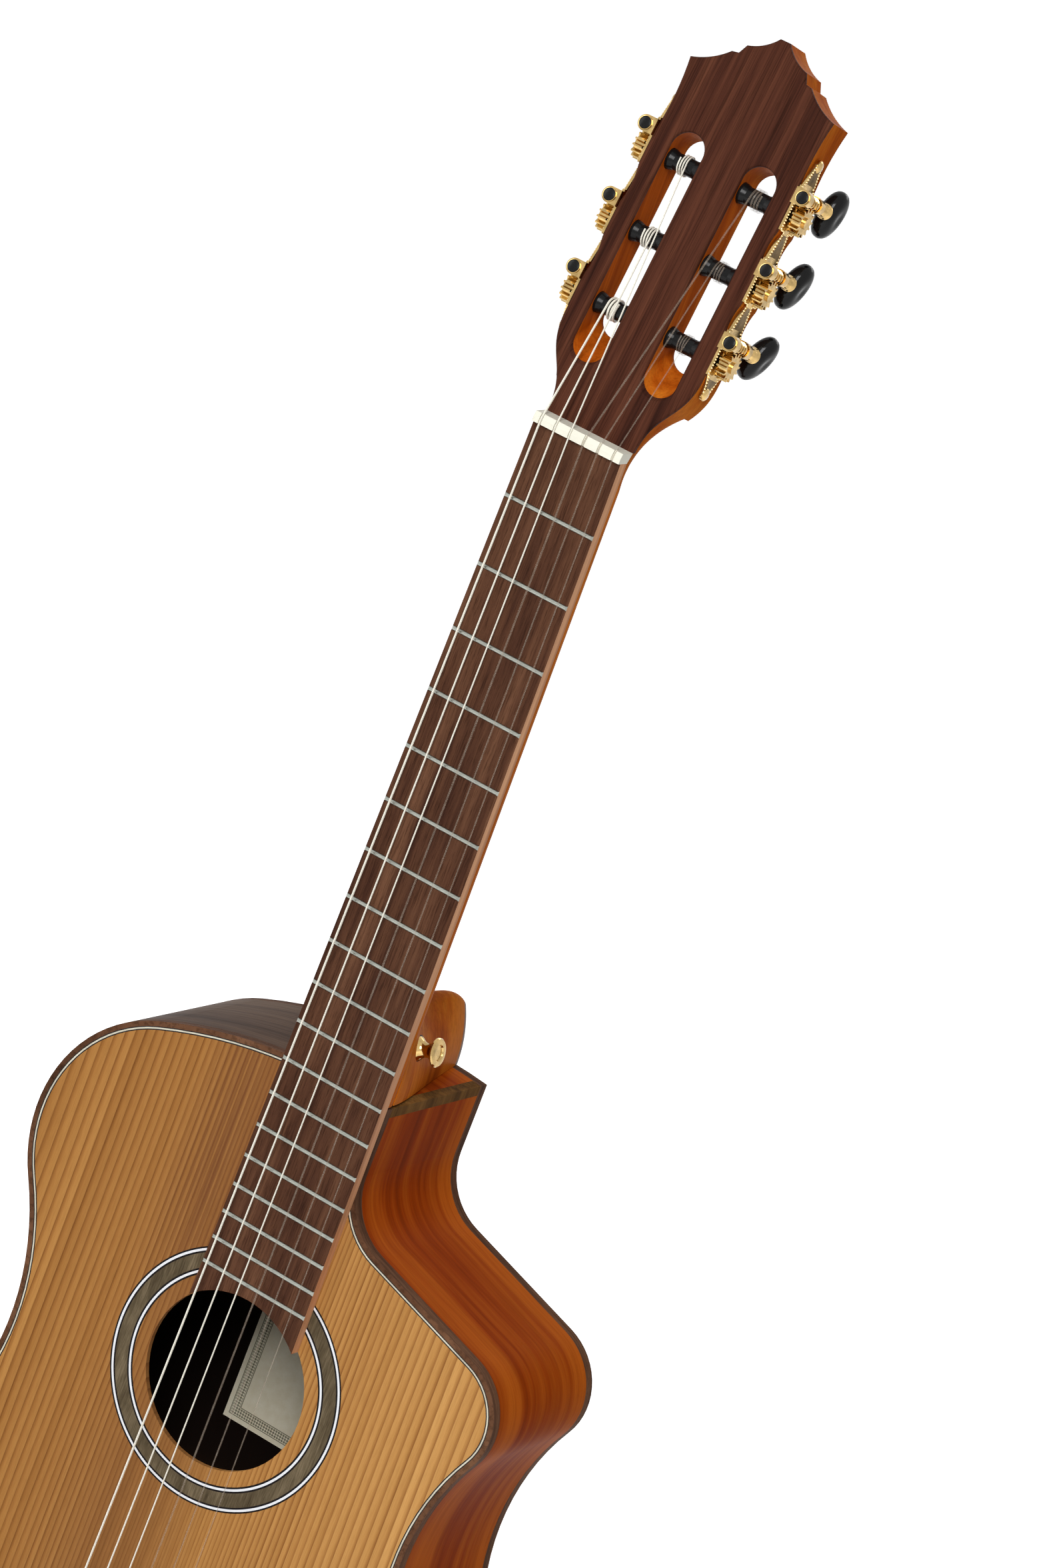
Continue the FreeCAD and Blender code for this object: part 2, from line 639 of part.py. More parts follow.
def biarc(p0, t0, p1, t1):
    """Two arcs from p0 to p1 with the given end tangents."""
    v, t = p1.sub(p0), t0.add(t1)
    a, b, c = 2 * (1 - t0.dot(t1)), 2 * v.dot(t), -v.dot(v)
    d = (-b + math.sqrt(b * b - 4 * a * c)) / (2 * a)
    q0, q1 = p0.add(V(t0).multiply(d)), p1.sub(V(t1).multiply(d))
    middle = q0.add(q1).multiply(1 / 2)
    return [tangent_arc(p0, q0, middle), tangent_arc(middle, q1, p1)]


def roller_of(k):
    """Side and place along the head of string k's roller; string 0 is the thinnest."""
    outer = k if k < tuner_count else len(string_diameters) - 1 - k
    return (1 if k < tuner_count else -1), outer


def saddle_bend(k):
    """Radius of string k's centre line where it bends over the saddle's crown."""
    return saddle_thickness / 2 + string_slack + string_diameters[k] / 2


def saddle_corner(k, hole_end):
    """Corner of string k's two runs behind and ahead of the saddle."""
    y, bend = string_y(k, saddle_z), saddle_bend(k)
    run, drop = saddle_z - hole_end.z, hole_end.y - y - bend
    turn = math.asin(bend / math.hypot(run, drop)) + math.atan2(drop, run)
    return V(hole_end.x, y, saddle_z - bend * math.tan(turn / 2))


def tie_points(k):
    """Route of string k from its tie over the saddle to the nut."""
    radius = string_diameters[k] / 2
    x_saddle, x_nut = string_x(k, saddle_spread), string_x(k, nut_spread)
    hole_y, over_y = front_y - tie_hole_height, front_y - block_height - string_slack - radius
    rear_z = saddle_z - bridge_below_saddle
    loop_z = rear_z - (hole_y - over_y) / 2 - radius
    hole_end = V(x_saddle, hole_y, rear_z + tie_width + tie_hole_lead)
    return [V(x_saddle, over_y, rear_z + tie_width), V(x_saddle, over_y, loop_z),
            V(x_saddle, hole_y, loop_z), hole_end, saddle_corner(k, hole_end),
            V(x_nut, string_y(k, nut_z), nut_z + nut_thickness / 2)]


def winding(k):
    """Points and directions at each quarter turn of string k round its roller."""
    radius = string_diameters[k] / 2
    side, place = roller_of(k)
    wrap = barrel_radius + roller_clearance + radius
    pitch = side * winding_ways[place] * (2 * radius + winding_gap)
    s0, start_x = tuner_s(place), side * winding_starts[place]
    a = math.radians(head_angle)
    away = tie_points(k)[-1].sub(head_point(0, roller_depth, s0))
    back, down = away.y * math.cos(a) - away.z * math.sin(a), away.y * math.sin(a) + away.z * math.cos(a)
    first = math.atan2(back, down) + math.acos(wrap / math.hypot(back, down))
    places = []
    for quarter in range(4 * winding_turns + 1):
        turn = quarter / 4
        angle = first + 2 * math.pi * turn
        place_now = head_point(start_x + pitch * turn, roller_depth + wrap * math.sin(angle),
                               s0 + wrap * math.cos(angle))
        ahead = head_point(pitch, 2 * math.pi * wrap * math.cos(angle), -2 * math.pi * wrap * math.sin(angle))
        direction = ahead.sub(head_point(0, 0, 0))
        direction.normalize()
        places.append((place_now, direction))
    return places


def string_path(k):
    """Edges of string k's centre line from the tie to the end of the winding."""
    turns = winding(k)
    points = tie_points(k) + [turns[0][0]]
    loop = (points[2].y - points[1].y) / 2 * (1 - 1 / winding_detail)
    edges = rounded(points, [loop, loop, hole_bend_radius, saddle_bend(k), nut_bend_radius])
    at, direction = points[-1], unit(points[-2], points[-1])
    for place, ahead in turns[1:]:
        edges += biarc(at, direction, place, ahead)
        at, direction = place, ahead
    return edges + [line(at, at.add(V(direction).multiply(string_tail)))]


def make_string(k):
    edges = string_path(k)
    radius = string_diameters[k] / 2
    start = edges[0].valueAt(edges[0].FirstParameter)
    corners = []
    for j in range(string_sides):
        angle = 2 * math.pi * j / string_sides
        corners.append(start.add(V(radius * math.cos(angle), radius * math.sin(angle), 0)))
    profile = Part.makePolygon(corners + [corners[0]])
    return Part.Wire(edges).makePipeShell([profile], True, False)


def least_gap(k):
    """Least distance between neighbouring turns of string k's winding, less its diameter."""
    edges = string_path(k)
    coil = edges[-1 - 8 * winding_turns:-1]
    points = [e.valueAt(e.FirstParameter + (e.LastParameter - e.FirstParameter) * j / winding_detail)
              for e in coil for j in range(winding_detail)]
    per_turn = 8 * winding_detail
    near = min(a.sub(b).Length for n, a in enumerate(points) for b in points[n + per_turn // 2:])
    return near - string_diameters[k]


def make_nut():
    half, top = nut_width / 2, front_y - nut_height
    blank = polygon([V(-half, front_y, nut_z), V(-half, top, nut_z), V(-half, top, nut_z + nut_thickness / 2),
                     V(-half, top + nut_fall, head_z), V(-half, head_y, head_z)], V(nut_width, 0, 0))
    for k in range(len(string_diameters)):
        room = string_diameters[k] / 2 + string_slack
        before, peak, after = tie_points(k)[-2], tie_points(k)[-1], winding(k)[0][0]
        low, high = unit(peak, before), unit(peak, after)
        floor = peak.add(V(0, room, 0))
        points = [floor.add(V(0, low.y, low.z).multiply(nut_thickness)), floor,
                  floor.add(V(0, high.y, high.z).multiply(nut_thickness))]
        points += [V(0, top - nut_height, points[2].z), V(0, top - nut_height, points[0].z)]
        side = peak.x - room - string_slack
        blank = blank.cut(polygon([V(side, p.y, p.z) for p in points], V(2 * (peak.x - side), 0, 0)))
    return blank


# Bridge, saddle and the strip under it

def make_bridge():
    rear = saddle_z - bridge_below_saddle
    front = rear + bridge_width
    half, block_half_length = bridge_length / 2, block_length / 2
    at = lambda x, height, z: V(x, front_y - height, z)
    wings = prism([line(at(-half, 0, rear), at(-half, wing_edge, rear)),
                   arc(at(-half, wing_edge, rear), at(-half, wing_height, (rear + front) / 2),
                       at(-half, wing_edge, front)),
                   line(at(-half, wing_edge, front), at(-half, 0, front)),
                   line(at(-half, 0, front), at(-half, 0, rear))], V(bridge_length, 0, 0))
    profile = [(0, rear), (block_height, rear), (block_height, rear + tie_width),
               (trench_height, rear + tie_width), (trench_height, rear + tie_width + trench_width),
               (land_height, rear + tie_width + trench_width), (land_height, front - nose_width),
               (nose_height, front), (0, front)]
    block = polygon([at(-block_half_length, h, z) for h, z in profile], V(block_length, 0, 0))
    bridge = fuse([wings, block])
    for k in range(len(string_diameters)):
        start = at(string_x(k, saddle_spread), tie_hole_height, rear - overrun)
        bridge = bridge.cut(cylinder(tie_hole_radius, start, Z_AXIS, tie_width + 2 * overrun))
    for piece in [saddle_slot()] + make_inlay():
        bridge = bridge.cut(piece)
    return bridge


def saddle_slot():
    half = saddle_length / 2
    return box(-half, half, front_y - block_height, front_y - saddle_floor,
               saddle_z - saddle_thickness / 2, saddle_z + saddle_thickness / 2)


def make_inlay():
    rear, half = saddle_z - bridge_below_saddle, block_length / 2
    y0, y1 = front_y - block_height, front_y - block_height + inlay_depth
    return [box(-half, half, y0, y1, z, z + inlay_width) for z in (rear, rear + tie_width - inlay_width)]


def make_saddle():
    """A strip with a half-round crown, which every string clears by the same slack."""
    half, radius = saddle_length / 2, saddle_thickness / 2
    crest = board_y - string_over_saddle_plane + string_slack
    foot = front_y - saddle_floor - pickup_height
    at = lambda y, side: V(-half, y, saddle_z + side * radius)
    return prism([line(at(foot, 1), at(foot, -1)), line(at(foot, -1), at(crest + radius, -1)),
                  arc(at(crest + radius, -1), at(crest, 0), at(crest + radius, 1)),
                  line(at(crest + radius, 1), at(foot, 1))], V(saddle_length, 0, 0))


def make_pickup():
    half = saddle_length / 2 - pickup_inset
    return box(-half, half, front_y - saddle_floor - pickup_height, front_y - saddle_floor,
               saddle_z - saddle_thickness / 2, saddle_z + saddle_thickness / 2)


# Tuning machines, drawn for the treble side in the headstock's frame

def across(radius, x0, x1, s):
    """Cylinder on a roller's axis."""
    return cylinder(radius, V(x0, roller_depth, s), X_AXIS, x1 - x0)


def along(radius, t0, t1, s):
    """Cylinder on a worm's axis."""
    return cylinder(radius, V(worm_x, t0, s + worm_offset), Y_AXIS, t1 - t0)


def bearing_spans():
    """Depths of the front and the rear worm bearing of each tuner."""
    front_end = roller_depth - gear_tip_radius + bearing_reach
    rear_start = roller_depth + gear_tip_radius - bearing_reach
    return (front_end - bearing_length, front_end), (rear_start, rear_start + bearing_length)


def make_tuner_plate():
    x, thick = head_half, V(plate_thickness, 0, 0)
    first, last = tuner_s(0), tuner_s(tuner_count - 1)
    pad_end = worm_offset + bearing_half + gear_stand_off
    fans = [(last + pad_end, last + plate_tail)]
    fans += [(tuner_s(k) + pad_end, tuner_s(k + 1) - plate_half) for k in range(tuner_count - 1)]
    pieces = []
    for low, high in fans:
        pieces.append(polygon([V(x, roller_depth - plate_fan, low), V(x, roller_depth + plate_fan, low),
                               V(x, roller_depth + plate_waist, high),
                               V(x, roller_depth - plate_waist, high)], thick))
    foot = first - plate_lead
    pieces.append(polygon([V(x, roller_depth - plate_fan, first - plate_half),
                           V(x, roller_depth + plate_fan, first - plate_half),
                           V(x, roller_depth + plate_waist, foot), V(x, roller_depth - plate_waist, foot)],
                          thick))
    pieces += [across(finial_radius, x, x + plate_thickness, s) for s in (foot, last + plate_tail)]
    for k in range(tuner_count):
        s = tuner_s(k)
        pieces.append(box(x, x + plate_thickness, roller_depth - plate_half, roller_depth + plate_half,
                          s - plate_half, s + pad_end))
        for t0, t1 in bearing_spans():
            pieces.append(along(bearing_half, t0, t1, s))
            pieces.append(box(x, worm_x, t0, t1, s + worm_offset - bearing_half,
                              s + worm_offset + bearing_half))
    plate_solid = fuse(pieces)
    for k in range(tuner_count):
        plate_solid = plate_solid.cut(along(worm_shaft_radius + worm_clearance, -head_thickness,
                                            2 * head_thickness, tuner_s(k)))
        plate_solid = plate_solid.cut(across(roller_shaft_radius + roller_clearance, 0, plate_outer,
                                             tuner_s(k)))
    return plate_solid


def make_roller(k):
    """Spool with a barrel in the slot, a journal in the web and cheek, and a shaft to the gear."""
    s, inner, outer = tuner_s(k), slot_inner + roller_flare / 2, slot_outer - roller_flare / 2
    profile = [(roller_root, 0), (roller_root, roller_radius), (inner, roller_radius),
               (inner + roller_flare, barrel_radius), (outer - roller_flare, barrel_radius),
               (outer, roller_radius), (head_half - roller_end_gap, roller_radius),
               (head_half - roller_end_gap, roller_shaft_radius), (gear_x, roller_shaft_radius), (gear_x, 0)]
    face = Part.Face(Part.makePolygon([V(x, roller_depth, s + r) for x, r in profile + profile[:1]]))
    return face.revolve(V(0, roller_depth, s), X_AXIS, 360)


def make_gear(k):
    """Toothed wheel on the end of the roller, with its centre screw."""
    s = tuner_s(k)
    points = []
    for tooth in range(gear_teeth):
        for radius, share in tooth_shares:
            r = gear_root_radius + (gear_tip_radius - gear_root_radius) * radius
            angle = 2 * math.pi * (tooth + share) / gear_teeth
            points.append(V(gear_x, roller_depth + r * math.sin(angle), s + r * math.cos(angle)))
    wheel = polygon(points, V(gear_thickness, 0, 0))
    outer = gear_x + gear_thickness
    return fuse([wheel, across(gear_screw_radius, outer - gear_screw_height, outer + gear_screw_height, s)])


def make_worm(k):
    """Worm shaft: front cap, two journals, the thinner threaded part's core and the stem."""
    (front_start, front_end), (rear_start, rear_end) = bearing_spans()
    s = tuner_s(k)
    return fuse([along(cap_radius, front_start - stem_gap - cap_height, front_start - stem_gap, s),
                 along(worm_shaft_radius, front_start - stem_gap - cap_height / 2, front_end, s),
                 along(worm_root_radius, front_end - cap_height, rear_start + cap_height, s),
                 along(worm_shaft_radius, rear_start, rear_end + stem_gap + cap_height, s),
                 along(stem_radius, rear_end + stem_gap, rear_end + stem_length, s)])


def oval_prism(centre, long_way, short_way, long_half, short_half, end_radius, direction):
    """Three-centred oval about a centre, swept along a direction."""
    radius, along_long, along_short = oval(long_half, short_half, end_radius)
    at = lambda a, b: centre.add(V(long_way).multiply(a)).add(V(short_way).multiply(b))
    edges = []
    for side in (-1, 1):
        edges.append(arc(at(side * along_long, -along_short), at(side * long_half, 0),
                         at(side * along_long, along_short)))
        edges.append(arc(at(-along_long, side * along_short), at(0, side * short_half),
                         at(along_long, side * along_short)))
    return prism(edges, direction)


def make_knob(k, turn):
    """Oval knob: what two crossed ovals have in common, turned about the worm's axis."""
    middle = V(worm_x, bearing_spans()[1][1] + stem_length + knob_high, tuner_s(k) + worm_offset)
    side_view = oval_prism(middle.sub(V(knob_wide, 0, 0)), Z_AXIS, Y_AXIS, knob_long, knob_high,
                           knob_high * knob_end_share, V(2 * knob_wide, 0, 0))
    end_view = oval_prism(middle.sub(V(0, 0, knob_long)), Y_AXIS, X_AXIS, knob_high, knob_wide,
                          knob_wide * knob_end_share, V(0, 0, 2 * knob_long))
    knob = side_view.common(end_view)
    knob.rotate(middle, Y_AXIS, turn)
    return knob


# Strap button on the heel and output jack in the tail

def button_axis():
    tilt = math.radians(button_tilt)
    return V(math.cos(tilt), 0, math.sin(tilt))


def button_seat_point(neck):
    """Where the button's axis leaves the heel, moved in by the depth of its flat seat."""
    axis = button_axis()
    start = V(0, front_y + button_depth, top_z + button_above_body - nut_width / 2 * axis.z / axis.x)
    ray = line(start, start.add(V(axis).multiply(nut_width)))
    surface = max((v.Point for v in ray.common(neck).Vertexes), key=lambda p: p.x)
    return surface.sub(axis.multiply(button_seat))


def make_button(seat):
    """Washer, tapered base, waist, flared head and the peg that holds it."""
    axis = button_axis()
    ahead = lambda distance: seat.add(V(axis).multiply(distance))
    rim = button_length - button_rim
    base = Part.makeCone(button_base_radius, button_waist_radius, button_taper, ahead(button_washer), axis)
    flare = Part.makeCone(button_waist_radius, button_radius, button_taper, ahead(rim - button_taper), axis)
    return fuse([cylinder(button_base_radius, seat, axis, button_washer), base,
                 cylinder(button_waist_radius, seat, axis, button_length), flare,
                 cylinder(button_radius, ahead(rim), axis, button_rim),
                 cylinder(button_peg_radius, ahead(-button_peg_length), axis,
                          button_peg_length + button_washer)])


def button_cutters(seat):
    axis = button_axis()
    return [cylinder(button_base_radius + fit_gap, seat, axis, button_length),
            cylinder(button_peg_radius, seat.sub(V(axis).multiply(button_peg_length)), axis,
                     2 * button_peg_length)]


def make_jack():
    profile = [(jack_bore_radius, 0), (pin_flange_radius, 0), (pin_flange_radius, pin_flange_height),
               (pin_waist_radius, pin_flange_height + (pin_flange_radius - pin_waist_radius)),
               (pin_waist_radius, tail_z - pin_base_height), (pin_flange_radius, tail_z - pin_base_height),
               (pin_flange_radius, tail_z), (jack_wall_radius, tail_z), (jack_wall_radius, jack_length),
               (0, jack_length), (0, jack_bore_length), (jack_bore_radius, jack_bore_length)]
    face = Part.Face(Part.makePolygon([V(r, 0, z) for r, z in profile + profile[:1]]))
    return face.revolve(V(0, 0, 0), Z_AXIS, 360)


# Preamp in the bass side. Its face looks along -X at the widest place of the upper bout.

bezel_x = -upper_half - bezel_proud


def bezel(gap):
    """The block that stands through the side, grown by a gap."""
    return box(bezel_x, -upper_half + housing_depth, -bezel_half_y - gap, bezel_half_y + gap,
               upper_z - bezel_half_z - gap, upper_z + bezel_half_z + gap)


def make_panel():
    flange = ring(-panel_thickness, 0, -panel_half_y, panel_half_y)
    patch = box(-upper_half - overrun, -upper_half + housing_depth, -panel_half_y, panel_half_y,
                upper_z - panel_half_z, upper_z + panel_half_z)
    return flange.common(patch).cut(bezel(fit_gap))


def door_shape(gap):
    """Sliding door with a tongue along each long edge; the gap makes the recess it slides in."""
    y1 = door_end + gap if gap == 0 else bezel_half_y + overrun
    plate_part = box(bezel_x - (overrun if gap else 0), bezel_x + door_thickness + gap, door_start - gap, y1,
                     upper_z - door_half_z - gap, upper_z + door_half_z + gap)
    tongues = box(bezel_x + door_lip - gap, bezel_x + door_thickness + gap, door_start - gap, y1,
                  upper_z - door_half_z - door_tongue - gap, upper_z + door_half_z + door_tongue + gap)
    return plate_part.fuse(tongues).removeSplitter()


def dial_centre(k):
    return V(bezel_x, dial_y + k * dial_pitch, upper_z + dial_z)


def make_dial(k):
    centre = dial_centre(k)
    return fuse([cylinder(dial_radius, centre.sub(V(dial_gap, 0, 0)), V(-1, 0, 0), dial_height),
                 cylinder(dial_stem_radius, centre.sub(V(dial_gap, 0, 0)), X_AXIS, dial_stem_length)])


def press_box(gap):
    floor = bezel_x + press_depth + (press_travel + gap if gap else 0)
    outer = bezel_x - (overrun if gap else press_proud)
    return box(outer, floor, press_y - press_half_y - gap, press_y + press_half_y + gap,
               upper_z + press_z - press_half_z - gap, upper_z + press_z + press_half_z + gap)


def make_housing():
    inner_x = -upper_half + side_wall + fit_gap
    body = box(inner_x, -upper_half + housing_depth, -housing_half_y, housing_half_y,
               upper_z - housing_half_z, upper_z + housing_half_z)
    body = body.cut(ring(-panel_thickness, side_wall + fit_gap, -housing_half_y, housing_half_y))
    body = fuse([body, bezel(0)])
    body = body.cut(door_shape(dial_stem_gap)).cut(press_box(press_gap))
    door_middle = V(bezel_x, (door_start + door_end) / 2, upper_z)
    body = body.cut(cylinder(cell_radius, door_middle, X_AXIS, door_thickness + cell_depth))
    for k in range(2):
        body = body.cut(cylinder(dial_stem_radius + dial_stem_gap, dial_centre(k).sub(V(overrun, 0, 0)),
                                 X_AXIS, overrun + dial_stem_length + dial_gap))
    return body


parts = {}


def main():
    blocks = make_blocks()
    bass_side, treble_side, strip = make_sides()
    parts["soundboard"] = make_soundboard()
    parts["back_plate"] = plate(side_wall, inner_back, back_y)
    parts["bass_side"], parts["treble_side"], parts["cutaway_strip"] = bass_side, treble_side, strip
    parts["top_binding"] = ring(0, side_wall, front_y, front_y + binding_height)
    parts["back_binding"] = ring(0, side_wall, back_y - binding_height, back_y)
    parts["top_purfling"] = ring(side_wall, side_wall + purfling_width, front_y, front_y + purfling_depth)
    parts["linings"] = Part.makeCompound(make_linings(blocks))
    parts["end_blocks"] = Part.makeCompound(list(blocks))
    parts["rosette"] = rosette_ring(rosette_depth)
    parts["top_braces"] = Part.makeCompound(make_top_braces())
    parts["back_braces"] = Part.makeCompound(make_back_braces())
    parts["label"] = make_label()

    neck, parts["headstock"] = make_neck_and_headstock()
    seat = button_seat_point(neck)
    for cutter in button_cutters(seat):
        neck = neck.cut(cutter)
    parts["neck"] = neck
    parts["heel_cap"] = make_heel_cap()
    parts["head_veneer"] = make_veneer()
    parts["fingerboard"] = make_fingerboard()
    parts["frets"] = Part.makeCompound([make_fret(n) for n in range(1, fret_count + 1)])
    parts["nut"] = make_nut()

    parts["bridge"], parts["saddle"], parts["pickup"] = make_bridge(), make_saddle(), make_pickup()
    parts["tie_inlay"] = Part.makeCompound(make_inlay())
    parts["strap_button"], parts["output_jack"] = make_button(seat), make_jack()

    parts["preamp_panel"], parts["preamp_housing"] = make_panel(), make_housing()
    parts["volume_knob"], parts["tone_knob"] = make_dial(0), make_dial(1)
    parts["tuner_button"], parts["battery_door"] = press_box(0), door_shape(0)

    mirrored = lambda shape: shape.mirror(V(0, 0, 0), X_AXIS)
    plate_solid = make_tuner_plate()
    parts["tuner_plates"] = to_head(Part.makeCompound([plate_solid, mirrored(plate_solid)]))
    for k in range(tuner_count):
        treble, bass = k + 1, 2 * tuner_count - k
        shapes = {"roller": make_roller(k), "gear": make_gear(k), "worm": make_worm(k)}
        for name, shape in shapes.items():
            parts[name + "_" + str(treble)] = to_head(shape)
            parts[name + "_" + str(bass)] = to_head(mirrored(shape))
        parts["knob_" + str(treble)] = to_head(make_knob(k, treble_knob_turns[k]))
        parts["knob_" + str(bass)] = to_head(mirrored(make_knob(k, bass_knob_turns[k])))
    parts["treble_strings"] = Part.makeCompound([make_string(k) for k in (0, 1, 2)])
    parts["bass_strings"] = Part.makeCompound([make_string(k) for k in (3, 4, 5)])
    print("least gap in a winding", round(min(least_gap(k) for k in range(len(string_diameters))), 3))

    os.makedirs("parts", exist_ok=True)
    for name, shape in parts.items():
        print(name, "valid" if shape.isValid() else "INVALID", len(shape.Solids), round(shape.Volume, 1))
        shape.exportStep("parts/" + name + ".step")


main()
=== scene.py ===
import json
import math

import bmesh
import bpy
from mathutils import Matrix, Vector


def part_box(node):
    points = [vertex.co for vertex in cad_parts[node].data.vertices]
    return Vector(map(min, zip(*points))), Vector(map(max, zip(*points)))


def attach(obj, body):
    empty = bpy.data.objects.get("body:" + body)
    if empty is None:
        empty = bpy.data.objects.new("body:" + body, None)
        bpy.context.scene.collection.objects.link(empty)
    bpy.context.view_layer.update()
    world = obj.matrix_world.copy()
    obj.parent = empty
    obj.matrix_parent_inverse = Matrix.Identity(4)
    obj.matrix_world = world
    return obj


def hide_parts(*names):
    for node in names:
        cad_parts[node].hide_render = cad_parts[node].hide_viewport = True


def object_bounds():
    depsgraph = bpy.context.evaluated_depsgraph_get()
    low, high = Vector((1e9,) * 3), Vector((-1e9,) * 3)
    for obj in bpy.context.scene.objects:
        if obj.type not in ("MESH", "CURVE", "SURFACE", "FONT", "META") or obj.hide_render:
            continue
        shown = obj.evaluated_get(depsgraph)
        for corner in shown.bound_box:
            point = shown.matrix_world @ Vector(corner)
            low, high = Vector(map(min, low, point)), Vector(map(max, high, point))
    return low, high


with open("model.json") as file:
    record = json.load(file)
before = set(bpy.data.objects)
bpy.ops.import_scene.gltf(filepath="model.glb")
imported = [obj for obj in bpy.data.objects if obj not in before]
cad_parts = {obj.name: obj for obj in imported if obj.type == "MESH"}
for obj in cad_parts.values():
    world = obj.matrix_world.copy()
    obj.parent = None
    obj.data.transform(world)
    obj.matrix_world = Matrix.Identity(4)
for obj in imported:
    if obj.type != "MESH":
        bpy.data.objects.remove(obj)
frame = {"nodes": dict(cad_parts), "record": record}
cad_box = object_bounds()
NODES = frame["nodes"]
MATERIALS = {}
MM = 0.001

# Camera: where the photograph was taken from, solved on the frets and the rosette.
SENSOR = 36.0
LENS = 145.82
CAMERA_PLACE = Vector((1.19051, -2.56406, 1.45643))
CAMERA_TARGET = Vector((0.03262, -0.04753, 0.66856))
CAMERA_ROLL = 21.11
CLIP_END = 60.0

# Lamps: name, place, the point that each faces, its two sides in metres and its power in watts.
LAMPS = [
    ("key", (0.8, -2.8, 2.6), (0.0, 0.0, 0.5), (1.4, 1.8), 108.0),
    ("fill", (-2.4, -2.0, 1.6), (0.0, 0.0, 0.6), (1.2, 2.4), 26.0),
    ("rim", (0.6, 2.4, 2.2), (0.0, 0.0, 0.7), (2.0, 1.0), 15.0),
]

# Surroundings: light from all round, and the floor, which the camera sees lifted to white.
WORLD_LIGHT = 0.18
WHITE = (1.0, 1.0, 1.0, 1.0)
FLOOR_PAINT, FLOOR_ROUGHNESS, FLOOR_LIFT = (0.86, 0.86, 0.86, 1.0), 0.8, 0.8
FLOOR_HALF, FLOOR_DROP = 12.0, 0.02

# Places and sizes that the looks share with the frame, in millimetres and degrees.
SOUNDHOLE_Z = 340.955
ROSETTE_INNER, ROSETTE_OUTER = 51.0, 63.5
HEAD_ANGLE, HEAD_Y, HEAD_Z = 13.4, -46.0, 828.97
TUNER_FIRST, TUNER_PITCH, TUNER_COUNT = 54.0, 36.0, 3
TUNER_LAST = TUNER_FIRST + (TUNER_COUNT - 1) * TUNER_PITCH
ROLLER_DEPTH = 8.0
PLATE_OUTER = 39.2
PLATE_HALF, PLATE_FAN, PLATE_WAIST = 7.5, 6.2, 3.2
PLATE_LEAD, PLATE_TAIL, PAD_END = 16.0, 25.0, 14.4
GEAR_FACE = 45.4
GEAR_TEETH, GEAR_PITCH_RADIUS = 14, 6.3
WORM_X, WORM_OFFSET = 42.9, 9.3
UPPER_Z, UPPER_HALF, UPPER_RADIUS = 413.9985, 144.0, 72.207
BEZEL_X, DIAL_Y, DIAL_PITCH, DIAL_Z = -147.2, -21.0, 12.0, 5.0
PANEL_THICKNESS = 1.2

# Meshes: points nearer than a weld are one point, and marks start this far below what they lie on.
PIECE_WELD, NODE_WELD = 0.002, 0.001
MARK_SUNK = -0.1

# Purfling: its depth, where its white line starts and ends across it, and the slope of a front face.
PURFLING_DEPTH = 1.2
PURFLING_WHITE = (0.28, 0.68)
FRONT_SLOPE = -0.9

# Head's veneer: radius of its front edges, and the stretch beside the nut that stays square. Faces within
# VENEER_FLAT degrees are one face, and the other two say how squarely front and side faces look forwards.
VENEER_ROUND, VENEER_STEPS, VENEER_SQUARE_END = 1.2, 4, 3.0
VENEER_FLAT, VENEER_FRONT, VENEER_SIDE = 0.2, 0.99, 0.5

# Knobs: half sizes, depth behind the head's face, turn of each knob in degrees and its dished faces.
KNOB_LONG, KNOB_WIDE, KNOB_HIGH = 12.0, 5.4, 7.5
KNOB_DEPTH = 34.1
KNOB_TURNS = (19.0, 13.0, 8.0, -5.0, 9.0, -12.0)
KNOB_POWER = 2.5
KNOB_DISH, KNOB_DISH_SPREAD = 0.16, 0.16
KNOB_ROWS, KNOB_SEGMENTS = 28, 48

# Worm shafts: (radius, distance along the shaft) pairs, and the thread's section across it.
WORM_PROFILE = [(0, -1.9), (2.9, -1.9), (3.0, -2.25), (3.28, -2.2), (3.28, -1.78), (2.3, -1.76), (2.3, 2.8),
                (1.9, 3.1), (1.9, 13.0), (2.3, 13.2), (2.3, 17.75), (3.1, 17.8), (3.3, 18.3), (3.1, 18.9),
                (2.2, 19.4), (1.9, 21.0), (1.9, 22.4), (2.6, 23.0), (3.0, 24.4), (3.6, 25.8), (4.0, 26.4),
                (4.0, 26.7), (0, 26.7)]
WORM_CAP_PROFILE = [(0, -2.62), (1.9, -2.55), (2.75, -2.3), (2.95, -2.0), (2.95, -1.9), (0, -1.9)]
THREAD_TURNS, THREAD_STEPS = 1.6, 24
THREAD_SECTION = [(1.7, -0.75), (3.3, -0.32), (3.3, 0.32), (1.7, 0.75)]
GEAR_SCREW_PROFILE = [(0, 0.0), (2.7, 0.0), (2.75, 0.3), (2.4, 0.75), (1.5, 0.95), (0, 1.0)]

# Trim of the side plates. A bead's shares are (radius, height) pairs from its foot to its top.
BEAD_PITCH, BEAD_RADIUS, BEAD_INSET, BEAD_SEGMENTS = 1.35, 0.55, 0.6, 8
BEAD_SHARES = ((1.0, 0.0), (0.85, 0.45), (0.5, 0.8), (0.1, 0.95))
FIELD_MARGIN, FIELD_PROUD, FIELD_LEAST = 1.5, 0.25, 1.0
PLATE_SCREW_PROFILE = [(0, 0.0), (3.0, 0.0), (3.0, 0.3), (2.5, 0.8), (1.2, 1.1), (0, 1.15)]

